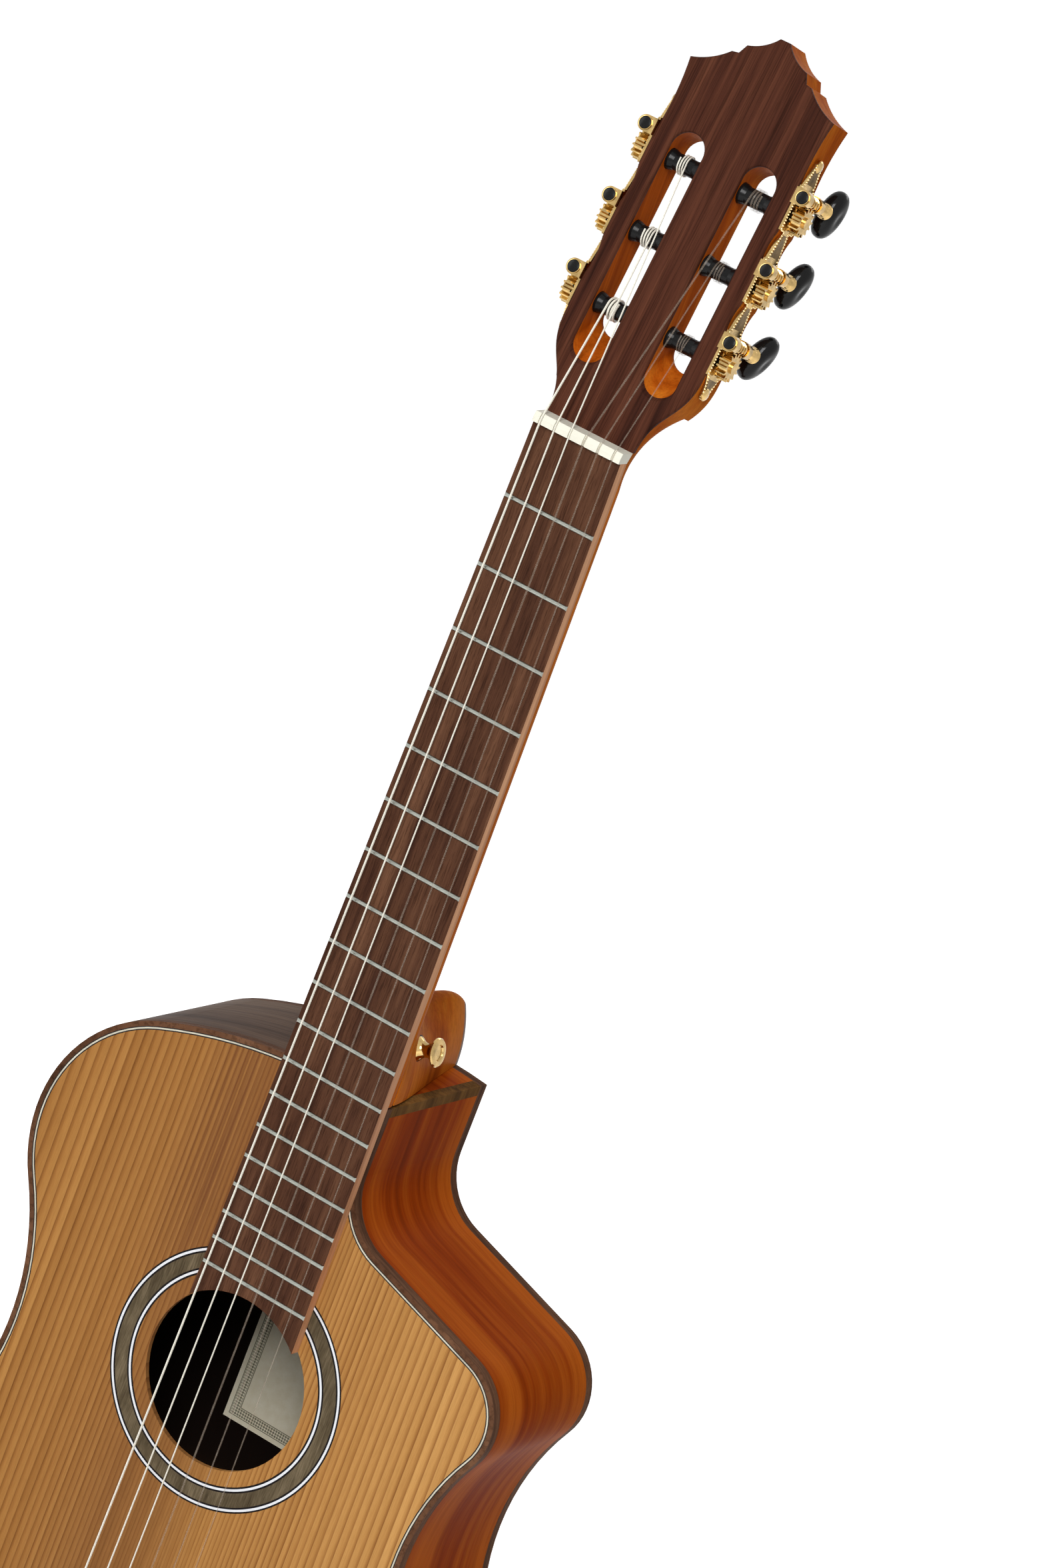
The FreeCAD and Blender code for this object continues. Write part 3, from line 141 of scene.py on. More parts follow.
# Strap button: where its axis meets the heel, its tilt and its turned form.
BUTTON_SEAT, BUTTON_TILT = Vector((20.2665, -25.0, 524.1344)), 16.0
BUTTON_PROFILE = [(0, 1.0), (5.5, 1.2), (5.9, 1.5), (5.7, 2.2), (4.4, 3.4), (3.6, 5.0), (3.4, 6.6),
                  (3.7, 8.2), (4.8, 9.6), (6.4, 10.3), (7.0, 10.9), (7.0, 11.5), (6.5, 12.1),
                  (4.6, 12.45), (3.9, 12.4), (3.4, 11.6), (0, 11.5)]
BUTTON_WASHER = [(0, 0.0), (6.3, 0.0), (6.5, 0.3), (6.5, 0.9), (6.2, 1.25), (0, 1.25)]

# Preamp: dials as (radius, height, depth of flute), their pointers, scale ticks, door ribs and screws.
DIAL_PROFILE = [(0.01, 0.3, 0.0), (4.6, 0.3, 0.0), (4.6, 0.9, 0.0), (4.3, 1.1, 0.0), (4.2, 1.3, 0.35),
                (3.9, 4.6, 0.35), (3.6, 5.0, 0.1), (2.6, 5.25, 0.0), (0.01, 5.0, 0.0)]
DIAL_FLUTES, DIAL_SEGMENTS = 18, 144
POINTER_START, POINTER_END, POINTER_HALF, POINTER_LEVELS = 0.9, 3.2, 0.3, (4.9, 5.3)
TICK_COUNT, TICK_INNER, TICK_OUTER, TICK_HALF, TICK_PROUD = 11, 5.1, 5.8, 0.14, 0.08
DIAL_SWEEP = 140.0
RIB_COUNT, RIB_FIRST, RIB_PITCH, RIB_WIDTH, RIB_LENGTH, RIB_PROUD = 5, 17.0, 1.2, 0.6, 6.0, 0.35
PANEL_SCREW_Y, PANEL_SCREW_Z = 30.2, 16.6
PANEL_SCREW_PROFILE = [(0, 0.0), (1.6, 0.0), (1.6, 0.1), (1.1, 0.45), (0, 0.6)]


# Materials: short calls that add nodes

def new_material(name):
    """The node tree of a new material, which goes into the table of materials."""
    made = bpy.data.materials.new(name)
    made.use_nodes = True
    MATERIALS[name] = made
    return made.node_tree


def feed(tree, socket, value):
    """Link the socket to another one, or set it to a value."""
    if isinstance(value, bpy.types.NodeSocket):
        tree.links.new(value, socket)
    else:
        socket.default_value = value


def add(tree, kind, inputs=None, **settings):
    """A node with its settings, and its inputs set to values or linked to sockets."""
    made = tree.nodes.new(kind)
    for key, value in settings.items():
        setattr(made, key, value)
    for key, value in (inputs or {}).items():
        feed(tree, made.inputs[key], value)
    return made


def maths(tree, operation, first, second=0.0):
    """One sum or comparison of two values."""
    return add(tree, "ShaderNodeMath", {0: first, 1: second}, operation=operation).outputs[0]


def weighted(tree, first, weight, second, other_weight):
    """The sum of two values, each times its weight."""
    return maths(tree, "ADD", maths(tree, "MULTIPLY", first, weight),
                 maths(tree, "MULTIPLY", second, other_weight))


def remap(tree, value, low, high, start=0.0, end=1.0):
    """Values from start to end become values from low to high, and stay within these."""
    return add(tree, "ShaderNodeMapRange", {"Value": value, "From Min": start, "From Max": end,
                                            "To Min": low, "To Max": high}).outputs["Result"]


def axes(tree, vector):
    """The X, Y and Z of a vector."""
    return add(tree, "ShaderNodeSeparateXYZ", {"Vector": vector}).outputs


def ramp(tree, factor, stops, interpolation="LINEAR"):
    """Colour ramp from a list of (place, colour)."""
    made = add(tree, "ShaderNodeValToRGB", {"Fac": factor})
    elements = made.color_ramp.elements
    made.color_ramp.interpolation = interpolation
    while len(elements) < len(stops):
        elements.new(0.5)
    for element, (stop, colour) in zip(elements, stops):
        element.position = stop
        element.color = (*colour, 1.0)
    return made.outputs["Color"]


def mix(tree, share, first, second, blend="MIX"):
    """A colour between two, each of them a socket or three numbers."""
    made = add(tree, "ShaderNodeMix", {0: share}, data_type="RGBA", blend_type=blend)
    for key, colour in ((6, first), (7, second)):
        known = isinstance(colour, bpy.types.NodeSocket)
        feed(tree, made.inputs[key], colour if known else (*colour, 1.0))
    return made.outputs[2]


def multiply(tree, first, second, share=1.0):
    """The first colour times the second, as far as share says."""
    return mix(tree, share, first, second, "MULTIPLY")


def place(tree, scale=(1.0, 1.0, 1.0)):
    """The object's own coordinates in metres, each axis scaled."""
    coordinates = add(tree, "ShaderNodeTexCoord").outputs["Object"]
    return add(tree, "ShaderNodeMapping", {"Vector": coordinates, "Scale": scale}).outputs["Vector"]


def noise(tree, stretch, scale, detail, rough):
    """Noise from 0 to 1. stretch scales each axis, and is small along the grain."""
    return add(tree, "ShaderNodeTexNoise", {"Vector": place(tree, stretch), "Scale": scale,
                                            "Detail": detail, "Roughness": rough}).outputs["Fac"]


def bump(tree, height, distance):
    """Small relief, whose height from 0 to 1 is the distance in metres."""
    return add(tree, "ShaderNodeBump", {"Height": height, "Distance": distance,
                                        "Strength": 1.0}).outputs["Normal"]


def finish_shader(tree, **inputs):
    """Set or link the sockets of the material's shader."""
    shader = tree.nodes["Principled BSDF"]
    for key, value in inputs.items():
        feed(tree, shader.inputs[key.replace("_", " ")], value)


def scaled(colour, factor):
    """A colour made darker or lighter."""
    return tuple(part * factor for part in colour)


# A noise is written as (stretch, scale, detail, roughness), and a ramp as (place, colour) pairs.
EVEN = (1.0, 1.0, 1.0)
ALONG = (1.0, 1.0, 0.035)
ROUND = (0.05, 1.0, 0.05)
ACROSS = (0.035, 1.0, 1.0)
PLAIN, NONE = (1.0, 1.0, 1.0), (0.0, 0.0, 0.0)

# Streaked woods: places of the three colours, weights of the streaks, detail and roughness of the
# noises, pores, gloss, depth of the grain in metres, and the slope of a face that looks into the body.
STREAK_STOPS = (0.36, 0.47, 0.60)
STREAK_WIDE, STREAK_FINE = 0.55, 0.45
WIDE_GRAIN, FINE_GRAIN, THREAD_GRAIN = (2.0, 0.5), (4.0, 0.6), (3.0, 0.7)
PORE_START, PORE_END = 0.40, 0.52
THREADS_PER_BAND = 6.0
GLOSS_LOSS, GLOSS_GAIN = 0.08, 0.06
WOOD_RELIEF = 0.00006
INNER_SLOPE = -0.7


def streaked_wood(name, light, dark, deep, stretch, band=0.006, wander=5.0, pores=0.25, roughness=0.4,
                  specular=0.1, tint=(1.0, 0.7, 0.45), inner=None):
    """Wood whose colour runs in wandering streaks, and inner is painted shade, a near black put on its faces
    that look into the body.
    """
    tree = new_material(name)
    wide = noise(tree, stretch, 1.0 / (band * wander), *WIDE_GRAIN)
    fine = noise(tree, stretch, 1.0 / band, *FINE_GRAIN)
    thread = noise(tree, stretch, THREADS_PER_BAND / band, *THREAD_GRAIN)
    tone = weighted(tree, wide, STREAK_WIDE, fine, STREAK_FINE)
    colour = ramp(tree, tone, list(zip(STREAK_STOPS, (deep, dark, light))))
    pore = ramp(tree, thread, [(PORE_START, scaled(PLAIN, 1 - pores)), (PORE_END, PLAIN)])
    colour = multiply(tree, colour, pore)
    # Painted shade: faces that look into the body take the near black inner colour in place of the wood.
    if inner:
        facing = axes(tree, add(tree, "ShaderNodeNewGeometry").outputs["True Normal"])
        colour = mix(tree, maths(tree, "LESS_THAN", facing["Y"], INNER_SLOPE), colour, inner)
    rough = remap(tree, thread, roughness + GLOSS_LOSS, roughness - GLOSS_GAIN)
    finish_shader(tree, Base_Color=colour, Roughness=rough, Specular_IOR_Level=specular,
                  Specular_Tint=(*tint, 1.0), Normal=bump(tree, thread, WOOD_RELIEF))


# Soundboard: growth rings that widen outwards from the centre seam, in metres.
RING_WIDENING, RING_COUNT, RING_SWAY = 0.049, 32.7, 0.012
RING_WANDER = ((6.0, 1.0, 1.6), 1.0, 2.0, 0.4)
RING_COLOURS = [(0.0, (0.460, 0.230, 0.066)), (0.50, (0.430, 0.205, 0.056)), (0.80, (0.280, 0.114, 0.028)),
                (0.92, (0.180, 0.066, 0.017)), (0.97, (0.440, 0.216, 0.061))]
RING_LEAST, SEAM_LEAST, SEAM_REACH = 0.55, 0.55, 0.05
BETWEEN_RINGS = (0.370, 0.168, 0.045)
RING_SEED, RING_LIFT_SHARE = 3.0, 0.8
RING_LIFT = [(0.0, (0.90, 0.87, 0.84)), (1.0, (1.08, 1.10, 1.14))]

# Soundboard: broad tones, painted light that makes the treble side paler and the bass side darker, painted
# shade in a band beside the fingerboard, a dark streak further out above the soundhole, and pores.
BROAD_NOISE = ((11.0, 1.0, 0.9), 1.0, 2.0, 0.5)
BROAD_TONES = [(0.30, (0.76, 0.70, 0.68)), (0.50, PLAIN), (0.7, (1.14, 1.20, 1.28))]
# Painted light: across this span of X the top goes from darker on the bass side to paler on the treble side.
PAINTED_LIGHT_SPAN = (-0.10, 0.15)
PAINTED_LIGHT_TONES = [(0.0, (0.94, 0.92, 0.90)), (1.0, (1.14, 1.20, 1.30))]
# Painted shade: a darker band along the fingerboard's bass edge, where the board's shadow falls on the top.
BOARD_SHADE_X, BOARD_SHADE_SPAN, BOARD_SHADE_SHARE = -0.024, (0.010, 0.045), 0.50
BOARD_SHADE_COLOUR = (0.150, 0.054, 0.020)
EDGE_STREAK_X, EDGE_STREAK_SPAN, EDGE_STREAK_SHARE = -0.046, (0.004, 0.026), 0.62
EDGE_STREAK_RISE = (0.34, 0.42)
EDGE_STREAK_COLOUR = (0.140, 0.048, 0.018)
STREAK_LINES = ((1.0, 1.0, 0.008), 520.0, 2.0, 0.6)
STREAK_LINE_SPAN, STREAK_LINE_WEIGHTS = (0.40, 0.60), (0.15, 1.15)
CEDAR_THREAD = ((1.0, 1.0, 0.035), 2600.0, 3.0, 0.7)
CEDAR_FLECKS, CEDAR_FLECK_SHARE = [(0.36, (0.86, 0.83, 0.80)), (0.56, PLAIN)], 0.8
CEDAR_TINT = (1.0, 0.8, 0.5, 1.0)
THREAD_HEIGHT, RING_HEIGHT, CEDAR_RELIEF = 0.5, -0.35, 0.00008


def growth_rings(tree, x):
    """Where each point lies within its ring, and the rings' colour."""
    shift = maths(tree, "MULTIPLY", maths(tree, "SUBTRACT", noise(tree, *RING_WANDER), 0.5), RING_SWAY)
    out = maths(tree, "MAXIMUM", maths(tree, "ADD", maths(tree, "ABSOLUTE", x), shift), 0.0)
    growth = maths(tree, "ADD", 1.0, maths(tree, "DIVIDE", out, RING_WIDENING))
    turns = maths(tree, "MULTIPLY", maths(tree, "LOGARITHM", growth, math.e), RING_COUNT)
    ring = maths(tree, "FRACT", turns)
    number = add(tree, "ShaderNodeCombineXYZ", {"X": maths(tree, "FLOOR", turns)}).outputs[0]
    chance = add(tree, "ShaderNodeTexWhiteNoise", {"Vector": number}, noise_dimensions="3D").outputs["Value"]
    share = maths(tree, "MULTIPLY", remap(tree, chance, RING_LEAST, 1.0),
                  remap(tree, out, SEAM_LEAST, 1.0, 0.0, SEAM_REACH))
    colour = mix(tree, share, BETWEEN_RINGS, ramp(tree, ring, RING_COLOURS))
    lot = add(tree, "ShaderNodeTexWhiteNoise", {"Vector": number, "W": RING_SEED}, noise_dimensions="4D")
    return ring, multiply(tree, colour, ramp(tree, lot.outputs["Value"], RING_LIFT), RING_LIFT_SHARE)


def band_share(tree, x, middle, span, most):
    """Share of a band along the grain, for the painted shade beside the fingerboard and for the dark streak:
    most of it at its middle, and none past the span.
    """
    return remap(tree, maths(tree, "ABSOLUTE", maths(tree, "SUBTRACT", x, middle)), most, 0.0, *span)


def top_wood(name):
    """Cedar with growth rings, mirrored about the centre seam."""
    tree = new_material(name)
    where = axes(tree, place(tree))
    ring, colour = growth_rings(tree, where["X"])
    colour = multiply(tree, colour, ramp(tree, noise(tree, *BROAD_NOISE), BROAD_TONES))
    # Painted light: the treble side of the top paler, the bass side darker.
    side = remap(tree, where["X"], 0.0, 1.0, *PAINTED_LIGHT_SPAN)
    colour = multiply(tree, colour, ramp(tree, side, PAINTED_LIGHT_TONES))
    # Painted shade beside the fingerboard's bass edge.
    fade = band_share(tree, where["X"], BOARD_SHADE_X, BOARD_SHADE_SPAN, BOARD_SHADE_SHARE)
    colour = mix(tree, fade, colour, BOARD_SHADE_COLOUR)
    fade = band_share(tree, where["X"], EDGE_STREAK_X, EDGE_STREAK_SPAN, EDGE_STREAK_SHARE)
    above_hole = remap(tree, where["Z"], 0.0, 1.0, *EDGE_STREAK_RISE)
    lines = remap(tree, noise(tree, *STREAK_LINES), *STREAK_LINE_WEIGHTS, *STREAK_LINE_SPAN)
    fade = maths(tree, "MULTIPLY", maths(tree, "MULTIPLY", fade, above_hole), lines)
    colour = mix(tree, fade, colour, EDGE_STREAK_COLOUR)
    thread = noise(tree, *CEDAR_THREAD)
    colour = multiply(tree, colour, ramp(tree, thread, CEDAR_FLECKS), CEDAR_FLECK_SHARE)
    height = weighted(tree, thread, THREAD_HEIGHT, ring, RING_HEIGHT)
    finish_shader(tree, Base_Color=colour, Roughness=0.45, Specular_IOR_Level=0.08,
                  Specular_Tint=CEDAR_TINT, Normal=bump(tree, height, CEDAR_RELIEF))


# Rosette: black and white lines by their share of its width, and walnut between them.
LINE_BLACK, LINE_WHITE = (0.010, 0.008, 0.008), (0.72, 0.73, 0.76)
ROSETTE_LINES = [(0.0, LINE_BLACK), (0.07, LINE_WHITE), (0.16, LINE_BLACK), (0.84, LINE_WHITE),
                 (0.93, LINE_BLACK)]
WALNUT_REACH = [(0.0, NONE), (0.23, PLAIN), (0.77, NONE)]
WALNUT_WIDE = ((1.0, 1.0, 0.25), 160.0, 3.0, 0.6)
WALNUT_FINE = ((1.0, 1.0, 0.06), 1500.0, 3.0, 0.7)
WALNUT_COLOURS = [(0.36, (0.048, 0.034, 0.018)), (0.5, (0.098, 0.073, 0.042)),
                  (0.64, (0.170, 0.130, 0.078))]
WALNUT_RELIEF = 0.00003


def rosette_wood(name):
    """Rings about the soundhole's axis: walnut between two sets of black, white and black lines."""
    tree = new_material(name)
    where = axes(tree, place(tree))
    rise = maths(tree, "SUBTRACT", where["Z"], SOUNDHOLE_Z * MM)
    square = maths(tree, "ADD", maths(tree, "MULTIPLY", where["X"], where["X"]),
                   maths(tree, "MULTIPLY", rise, rise))
    past_inner = maths(tree, "SUBTRACT", maths(tree, "SQRT", square), ROSETTE_INNER * MM)
    share = maths(tree, "DIVIDE", past_inner, (ROSETTE_OUTER - ROSETTE_INNER) * MM)
    fine = noise(tree, *WALNUT_FINE)
    grain = weighted(tree, noise(tree, *WALNUT_WIDE), 0.5, fine, 0.5)
    colour = mix(tree, ramp(tree, share, WALNUT_REACH, "CONSTANT"),
                 ramp(tree, share, ROSETTE_LINES, "CONSTANT"), ramp(tree, grain, WALNUT_COLOURS))
    finish_shader(tree, Base_Color=colour, Roughness=0.38, Specular_IOR_Level=0.04,
                  Normal=bump(tree, fine, WALNUT_RELIEF))


# Label: its border by share of LABEL_BORDER from the edge, and small diamonds in radians to the metre.
LABEL_BORDER, DIAMOND_RATE = 0.012, 2200.0
INK, DIAMOND_INK = (0.25, 0.24, 0.2), (0.28, 0.28, 0.24)
BORDER_LINES = [(0.0, PLAIN), (0.20, INK), (0.24, PLAIN), (0.62, INK), (0.66, PLAIN)]
DIAMOND_BAND = [(0.0, NONE), (0.26, PLAIN), (0.60, NONE)]
DIAMOND_STOPS = [(0.0, DIAMOND_INK), (0.35, PLAIN), (0.65, DIAMOND_INK)]
PAPER_CLOUDS, PAPER_FIBRES = (EVEN, 240.0, 4.0, 0.6), (EVEN, 1800.0, 3.0, 0.6)
PAPER_COLOURS = [(0.3, (0.84, 0.76, 0.56)), (0.7, (0.92, 0.86, 0.68))]
PAPER_RELIEF = 0.00004


def inset(tree, value, low, high):
    """How far a value is inside the nearer of two ends."""
    return maths(tree, "MINIMUM", maths(tree, "SUBTRACT", value, low), maths(tree, "SUBTRACT", high, value))


def diamond_wave(tree, value):
    return maths(tree, "SINE", maths(tree, "MULTIPLY", value, DIAMOND_RATE))


def label_paper(name):
    """Cream paper with a plain double border and a band of small diamonds."""
    tree = new_material(name)
    low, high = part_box("label")
    where = axes(tree, place(tree))
    from_edge = maths(tree, "MINIMUM", inset(tree, where["X"], low.x, high.x),
                      inset(tree, where["Z"], low.z, high.z))
    share = maths(tree, "DIVIDE", from_edge, LABEL_BORDER)
    wave = maths(tree, "MULTIPLY", diamond_wave(tree, where["X"]), diamond_wave(tree, where["Z"]))
    level = maths(tree, "ADD", maths(tree, "MULTIPLY", wave, 0.5), 0.5)
    ink = mix(tree, ramp(tree, share, DIAMOND_BAND, "CONSTANT"),
              ramp(tree, share, BORDER_LINES, "CONSTANT"), ramp(tree, level, DIAMOND_STOPS, "CONSTANT"))
    paper = ramp(tree, noise(tree, *PAPER_CLOUDS), PAPER_COLOURS)
    finish_shader(tree, Base_Color=multiply(tree, paper, ink), Roughness=0.8,
                  Normal=bump(tree, noise(tree, *PAPER_FIBRES), PAPER_RELIEF))


# Metals: tarnish spots, and hairs too fine to see one by one.
TARNISH_NOISE = (EVEN, 220.0, 4.0, 0.6)
HAIR_SCALE, HAIR_DETAIL, HAIR_ROUGH = 4200.0, 2.0, 0.6
TARNISH_START, TARNISH_END = 0.30, 0.62
METAL_DULL, METAL_BRIGHT = 1.6, 0.7


def metal(name, colour, roughness, scratch=EVEN, depth=0.00001, tarnish=0.25):
    """Plated metal, duller and darker in spots. scratch is small along its hairs."""
    tree = new_material(name)
    spots = noise(tree, *TARNISH_NOISE)
    hairs = noise(tree, scratch, HAIR_SCALE, HAIR_DETAIL, HAIR_ROUGH)
    tone = ramp(tree, spots, [(TARNISH_START, scaled(colour, 1 - tarnish)), (TARNISH_END, colour)])
    rough = remap(tree, spots, roughness * METAL_DULL, roughness * METAL_BRIGHT)
    finish_shader(tree, Base_Color=tone, Metallic=1.0, Roughness=rough, Normal=bump(tree, hairs, depth))


# Plastics, bone and painted lines: clouds of tone, and a fine skin.
CLOUD_NOISE = (EVEN, 60.0, 3.0, 0.5)
SKIN_DETAIL, SKIN_ROUGH = 3.0, 0.6
CLOUD_START, CLOUD_END = 0.3, 0.7
SKIN_BRIGHT, SKIN_DULL = 0.85, 1.15


def moulded(name, colour, roughness, coat=0.0, grain=900.0, depth=0.00002, vary=0.2):
    """Smooth solid stuff with slight clouds in its tone and a fine skin."""
    tree = new_material(name)
    cloud = noise(tree, *CLOUD_NOISE)
    skin = noise(tree, EVEN, grain, SKIN_DETAIL, SKIN_ROUGH)
    tone = ramp(tree, cloud, [(CLOUD_START, scaled(colour, 1 - vary)),
                              (CLOUD_END, scaled(colour, 1 + vary))])
    rough = remap(tree, skin, roughness * SKIN_BRIGHT, roughness * SKIN_DULL)
    finish_shader(tree, Base_Color=tone, Roughness=rough, Specular_IOR_Level=0.12,
                  Coat_Weight=coat, Coat_Roughness=0.08, Normal=bump(tree, skin, depth))


# Strings. Blender's wave texture turns WAVE_RATE radians to the metre for each unit of its scale.
NYLON_NOISE = (EVEN, 300.0, 3.0, 0.5)
NYLON_COLOURS = [(0.3, (0.30, 0.23, 0.17)), (0.7, (0.44, 0.36, 0.28))]
WIRE_PITCH, WAVE_RATE = 0.00032, 20
WIRE_COLOURS = [(0.05, (0.66, 0.62, 0.50)), (0.45, (0.92, 0.88, 0.76)), (0.9, (0.95, 0.93, 0.84))]
NYLON_RELIEF, WIRE_RELIEF = 0.00001, 0.00008


def nylon(name):
    """Clear plain strings, almost unseen against the wood."""
    tree = new_material(name)
    cloud = noise(tree, *NYLON_NOISE)
    finish_shader(tree, Base_Color=ramp(tree, cloud, NYLON_COLOURS), Roughness=0.22, Alpha=0.18,
                  Normal=bump(tree, cloud, NYLON_RELIEF))


def wound(name):
    """Fine round wire on the bass strings."""
    tree = new_material(name)
    scale = 2 * math.pi / (WAVE_RATE * WIRE_PITCH)
    wrap = add(tree, "ShaderNodeTexWave", {"Vector": place(tree), "Scale": scale},
               bands_direction="Z").outputs["Fac"]
    finish_shader(tree, Base_Color=ramp(tree, wrap, WIRE_COLOURS), Metallic=0.15, Roughness=0.40,
                  Normal=bump(tree, wrap, WIRE_RELIEF))


# Fingerboard: dark streaks and patches, open pores, and red wood on the faces at its sides.
BOARD_WIDE = ((1.0, 1.0, 0.02), 190.0, 3.0, 0.6)
BOARD_PATCH = ((1.0, 1.0, 0.22), 55.0, 2.0, 0.5)
BOARD_FINE = ((1.0, 1.0, 0.045), 1500.0, 4.0, 0.7)
BOARD_COLOURS = [(0.36, (0.040, 0.015, 0.009)), (0.50, (0.080, 0.033, 0.018)),
                 (0.66, (0.140, 0.063, 0.034))]
BOARD_PORES, BOARD_PORE_SHARE = [(0.38, (0.42, 0.38, 0.36)), (0.50, PLAIN)], 0.85
BOARD_EDGES = [(0.35, (0.42, 0.185, 0.088)), (0.65, (0.72, 0.38, 0.200))]
BOARD_EDGE_SLOPE, BOARD_RELIEF = 0.7, 0.00010
BOARD_WIDE_WEIGHT, BOARD_PATCH_WEIGHT = 0.6, 0.4
BOARD_TINT = (1.0, 0.75, 0.6, 1.0)


def fingerboard_wood(name):
    """Dark brown board with open pores and reddish edges."""
    tree = new_material(name)
    wide = noise(tree, *BOARD_WIDE)
    fine = noise(tree, *BOARD_FINE)
    tone = weighted(tree, wide, BOARD_WIDE_WEIGHT, noise(tree, *BOARD_PATCH), BOARD_PATCH_WEIGHT)
    pores = ramp(tree, fine, BOARD_PORES)
    colour = multiply(tree, ramp(tree, tone, BOARD_COLOURS), pores, BOARD_PORE_SHARE)
    facing = axes(tree, add(tree, "ShaderNodeNewGeometry").outputs["True Normal"])
    edge = maths(tree, "GREATER_THAN", maths(tree, "ABSOLUTE", facing["X"]), BOARD_EDGE_SLOPE)
    colour = mix(tree, edge, colour, ramp(tree, wide, BOARD_EDGES))
    finish_shader(tree, Base_Color=colour, Roughness=0.46, Specular_IOR_Level=0.06,
                  Specular_Tint=BOARD_TINT, Normal=bump(tree, fine, BOARD_RELIEF))


def make_materials():
    """Every material of the object. The woods have a light, a dark and a deep colour."""
    top_wood("top_wood")
    streaked_wood("side_wood", (0.430, 0.094, 0.008), (0.260, 0.037, 0.0020), (0.110, 0.014, 0.0010), ROUND,
                  band=0.010, pores=0.12, roughness=0.34, specular=0.004, tint=(1.0, 0.45, 0.12))
    # A shaded copy of side_wood for the bass side: the same wood painted darker and greyer, as painted shade
    # and a painted grey sheen.
    streaked_wood("shaded_side_wood", (0.125, 0.076, 0.048), (0.080, 0.046, 0.030), (0.038, 0.021, 0.014), ROUND,
                  band=0.010, pores=0.2, specular=0.01)
    # The back's faces inside the body get painted shade, near black.
    streaked_wood("back_wood", (0.24, 0.085, 0.030), (0.13, 0.042, 0.016), (0.045, 0.016, 0.008), ALONG,
                  band=0.010, pores=0.3, roughness=0.32, inner=(0.008, 0.005, 0.004))
    streaked_wood("binding_wood", (0.170, 0.082, 0.044), (0.110, 0.050, 0.027), (0.055, 0.025, 0.014), ROUND,
                  band=0.0012, pores=0.35, specular=0.006)
    streaked_wood("corner_wood", (0.200, 0.096, 0.026), (0.120, 0.056, 0.015), (0.056, 0.027, 0.008), ALONG,
                  band=0.003, pores=0.3, specular=0.004)
    streaked_wood("dark_wood", (0.130, 0.062, 0.036), (0.072, 0.032, 0.019), (0.030, 0.014, 0.009), ACROSS,
                  band=0.004, pores=0.45, roughness=0.45, specular=0.15)
    streaked_wood("inner_wood", (0.60, 0.42, 0.24), (0.50, 0.33, 0.18), (0.40, 0.25, 0.13), ALONG,
                  band=0.003, pores=0.15, roughness=0.75)
    streaked_wood("neck_wood", (0.570, 0.158, 0.013), (0.410, 0.082, 0.005), (0.240, 0.041, 0.002), ALONG,
                  band=0.009, pores=0.15, roughness=0.34, specular=0.004, tint=(1.0, 0.45, 0.12))
    streaked_wood("veneer", (0.100, 0.034, 0.019), (0.056, 0.018, 0.011), (0.016, 0.006, 0.005),
                  (1.0, 0.04, 0.012), band=0.0035, wander=3.0, pores=0.4, roughness=0.45, specular=0.03)
    fingerboard_wood("fingerboard_wood")
    rosette_wood("rosette")
    label_paper("paper")
    moulded("purfling", (0.56, 0.53, 0.43), 0.40)
    moulded("ebony_line", (0.016, 0.012, 0.010), 0.45)
    moulded("bone", (0.76, 0.74, 0.63), 0.35, coat=0.1, vary=0.04)
    moulded("black_plastic", (0.018, 0.018, 0.018), 0.45, grain=2600.0, depth=0.00005)
    moulded("dial", (0.025, 0.025, 0.025), 0.40, grain=1800.0)
    moulded("roller_plastic", (0.006, 0.006, 0.006), 0.24, coat=0.04)
    moulded("knob_plastic", (0.005, 0.005, 0.005), 0.12, coat=0.08)
    wound("wound_string")
    nylon("nylon")
    metal("fret_wire", (0.34, 0.35, 0.31), 0.26, scratch=(1.0, 0.1, 1.0))
    metal("gilt", (0.66, 0.45, 0.18), 0.09, tarnish=0.45)
    metal("gilt_bright", (0.86, 0.68, 0.36), 0.14, tarnish=0.1)
    metal("gilt_chased", (0.20, 0.125, 0.045), 0.34, depth=0.00006, tarnish=0.6)
    metal("plated_steel", (0.86, 0.86, 0.85), 0.12)


# The bass side takes the shaded copy of the side wood, which holds painted shade.
OWN_MATERIAL = {"fingerboard": "fingerboard_wood", "back_plate": "back_wood", "bass_side": "shaded_side_wood",
                "cutaway_strip": "corner_wood"}


def dress_nodes():
    """Give every node of the frame its material by its slot, with a few of their own."""
    for entry in frame["record"]["subparts"]:
        node = NODES[entry["node"]]
        chosen = MATERIALS[OWN_MATERIAL.get(entry["node"], entry["material_slot"])]
        for slot in node.material_slots:
            slot.material = chosen
        if not node.material_slots:
            node.data.materials.append(chosen)


# Pieces: small mesh builders first. Points are in millimetres.

def full_turn(count):
    """Angles evenly round a circle."""
    return [2 * math.pi * k / count for k in range(count)]


def rectangle(a0, a1, b0, b1):
    """Its four corners as (a, b) pairs, one after the other."""
    return [(a0, b0), (a1, b0), (a1, b1), (a0, b1)]


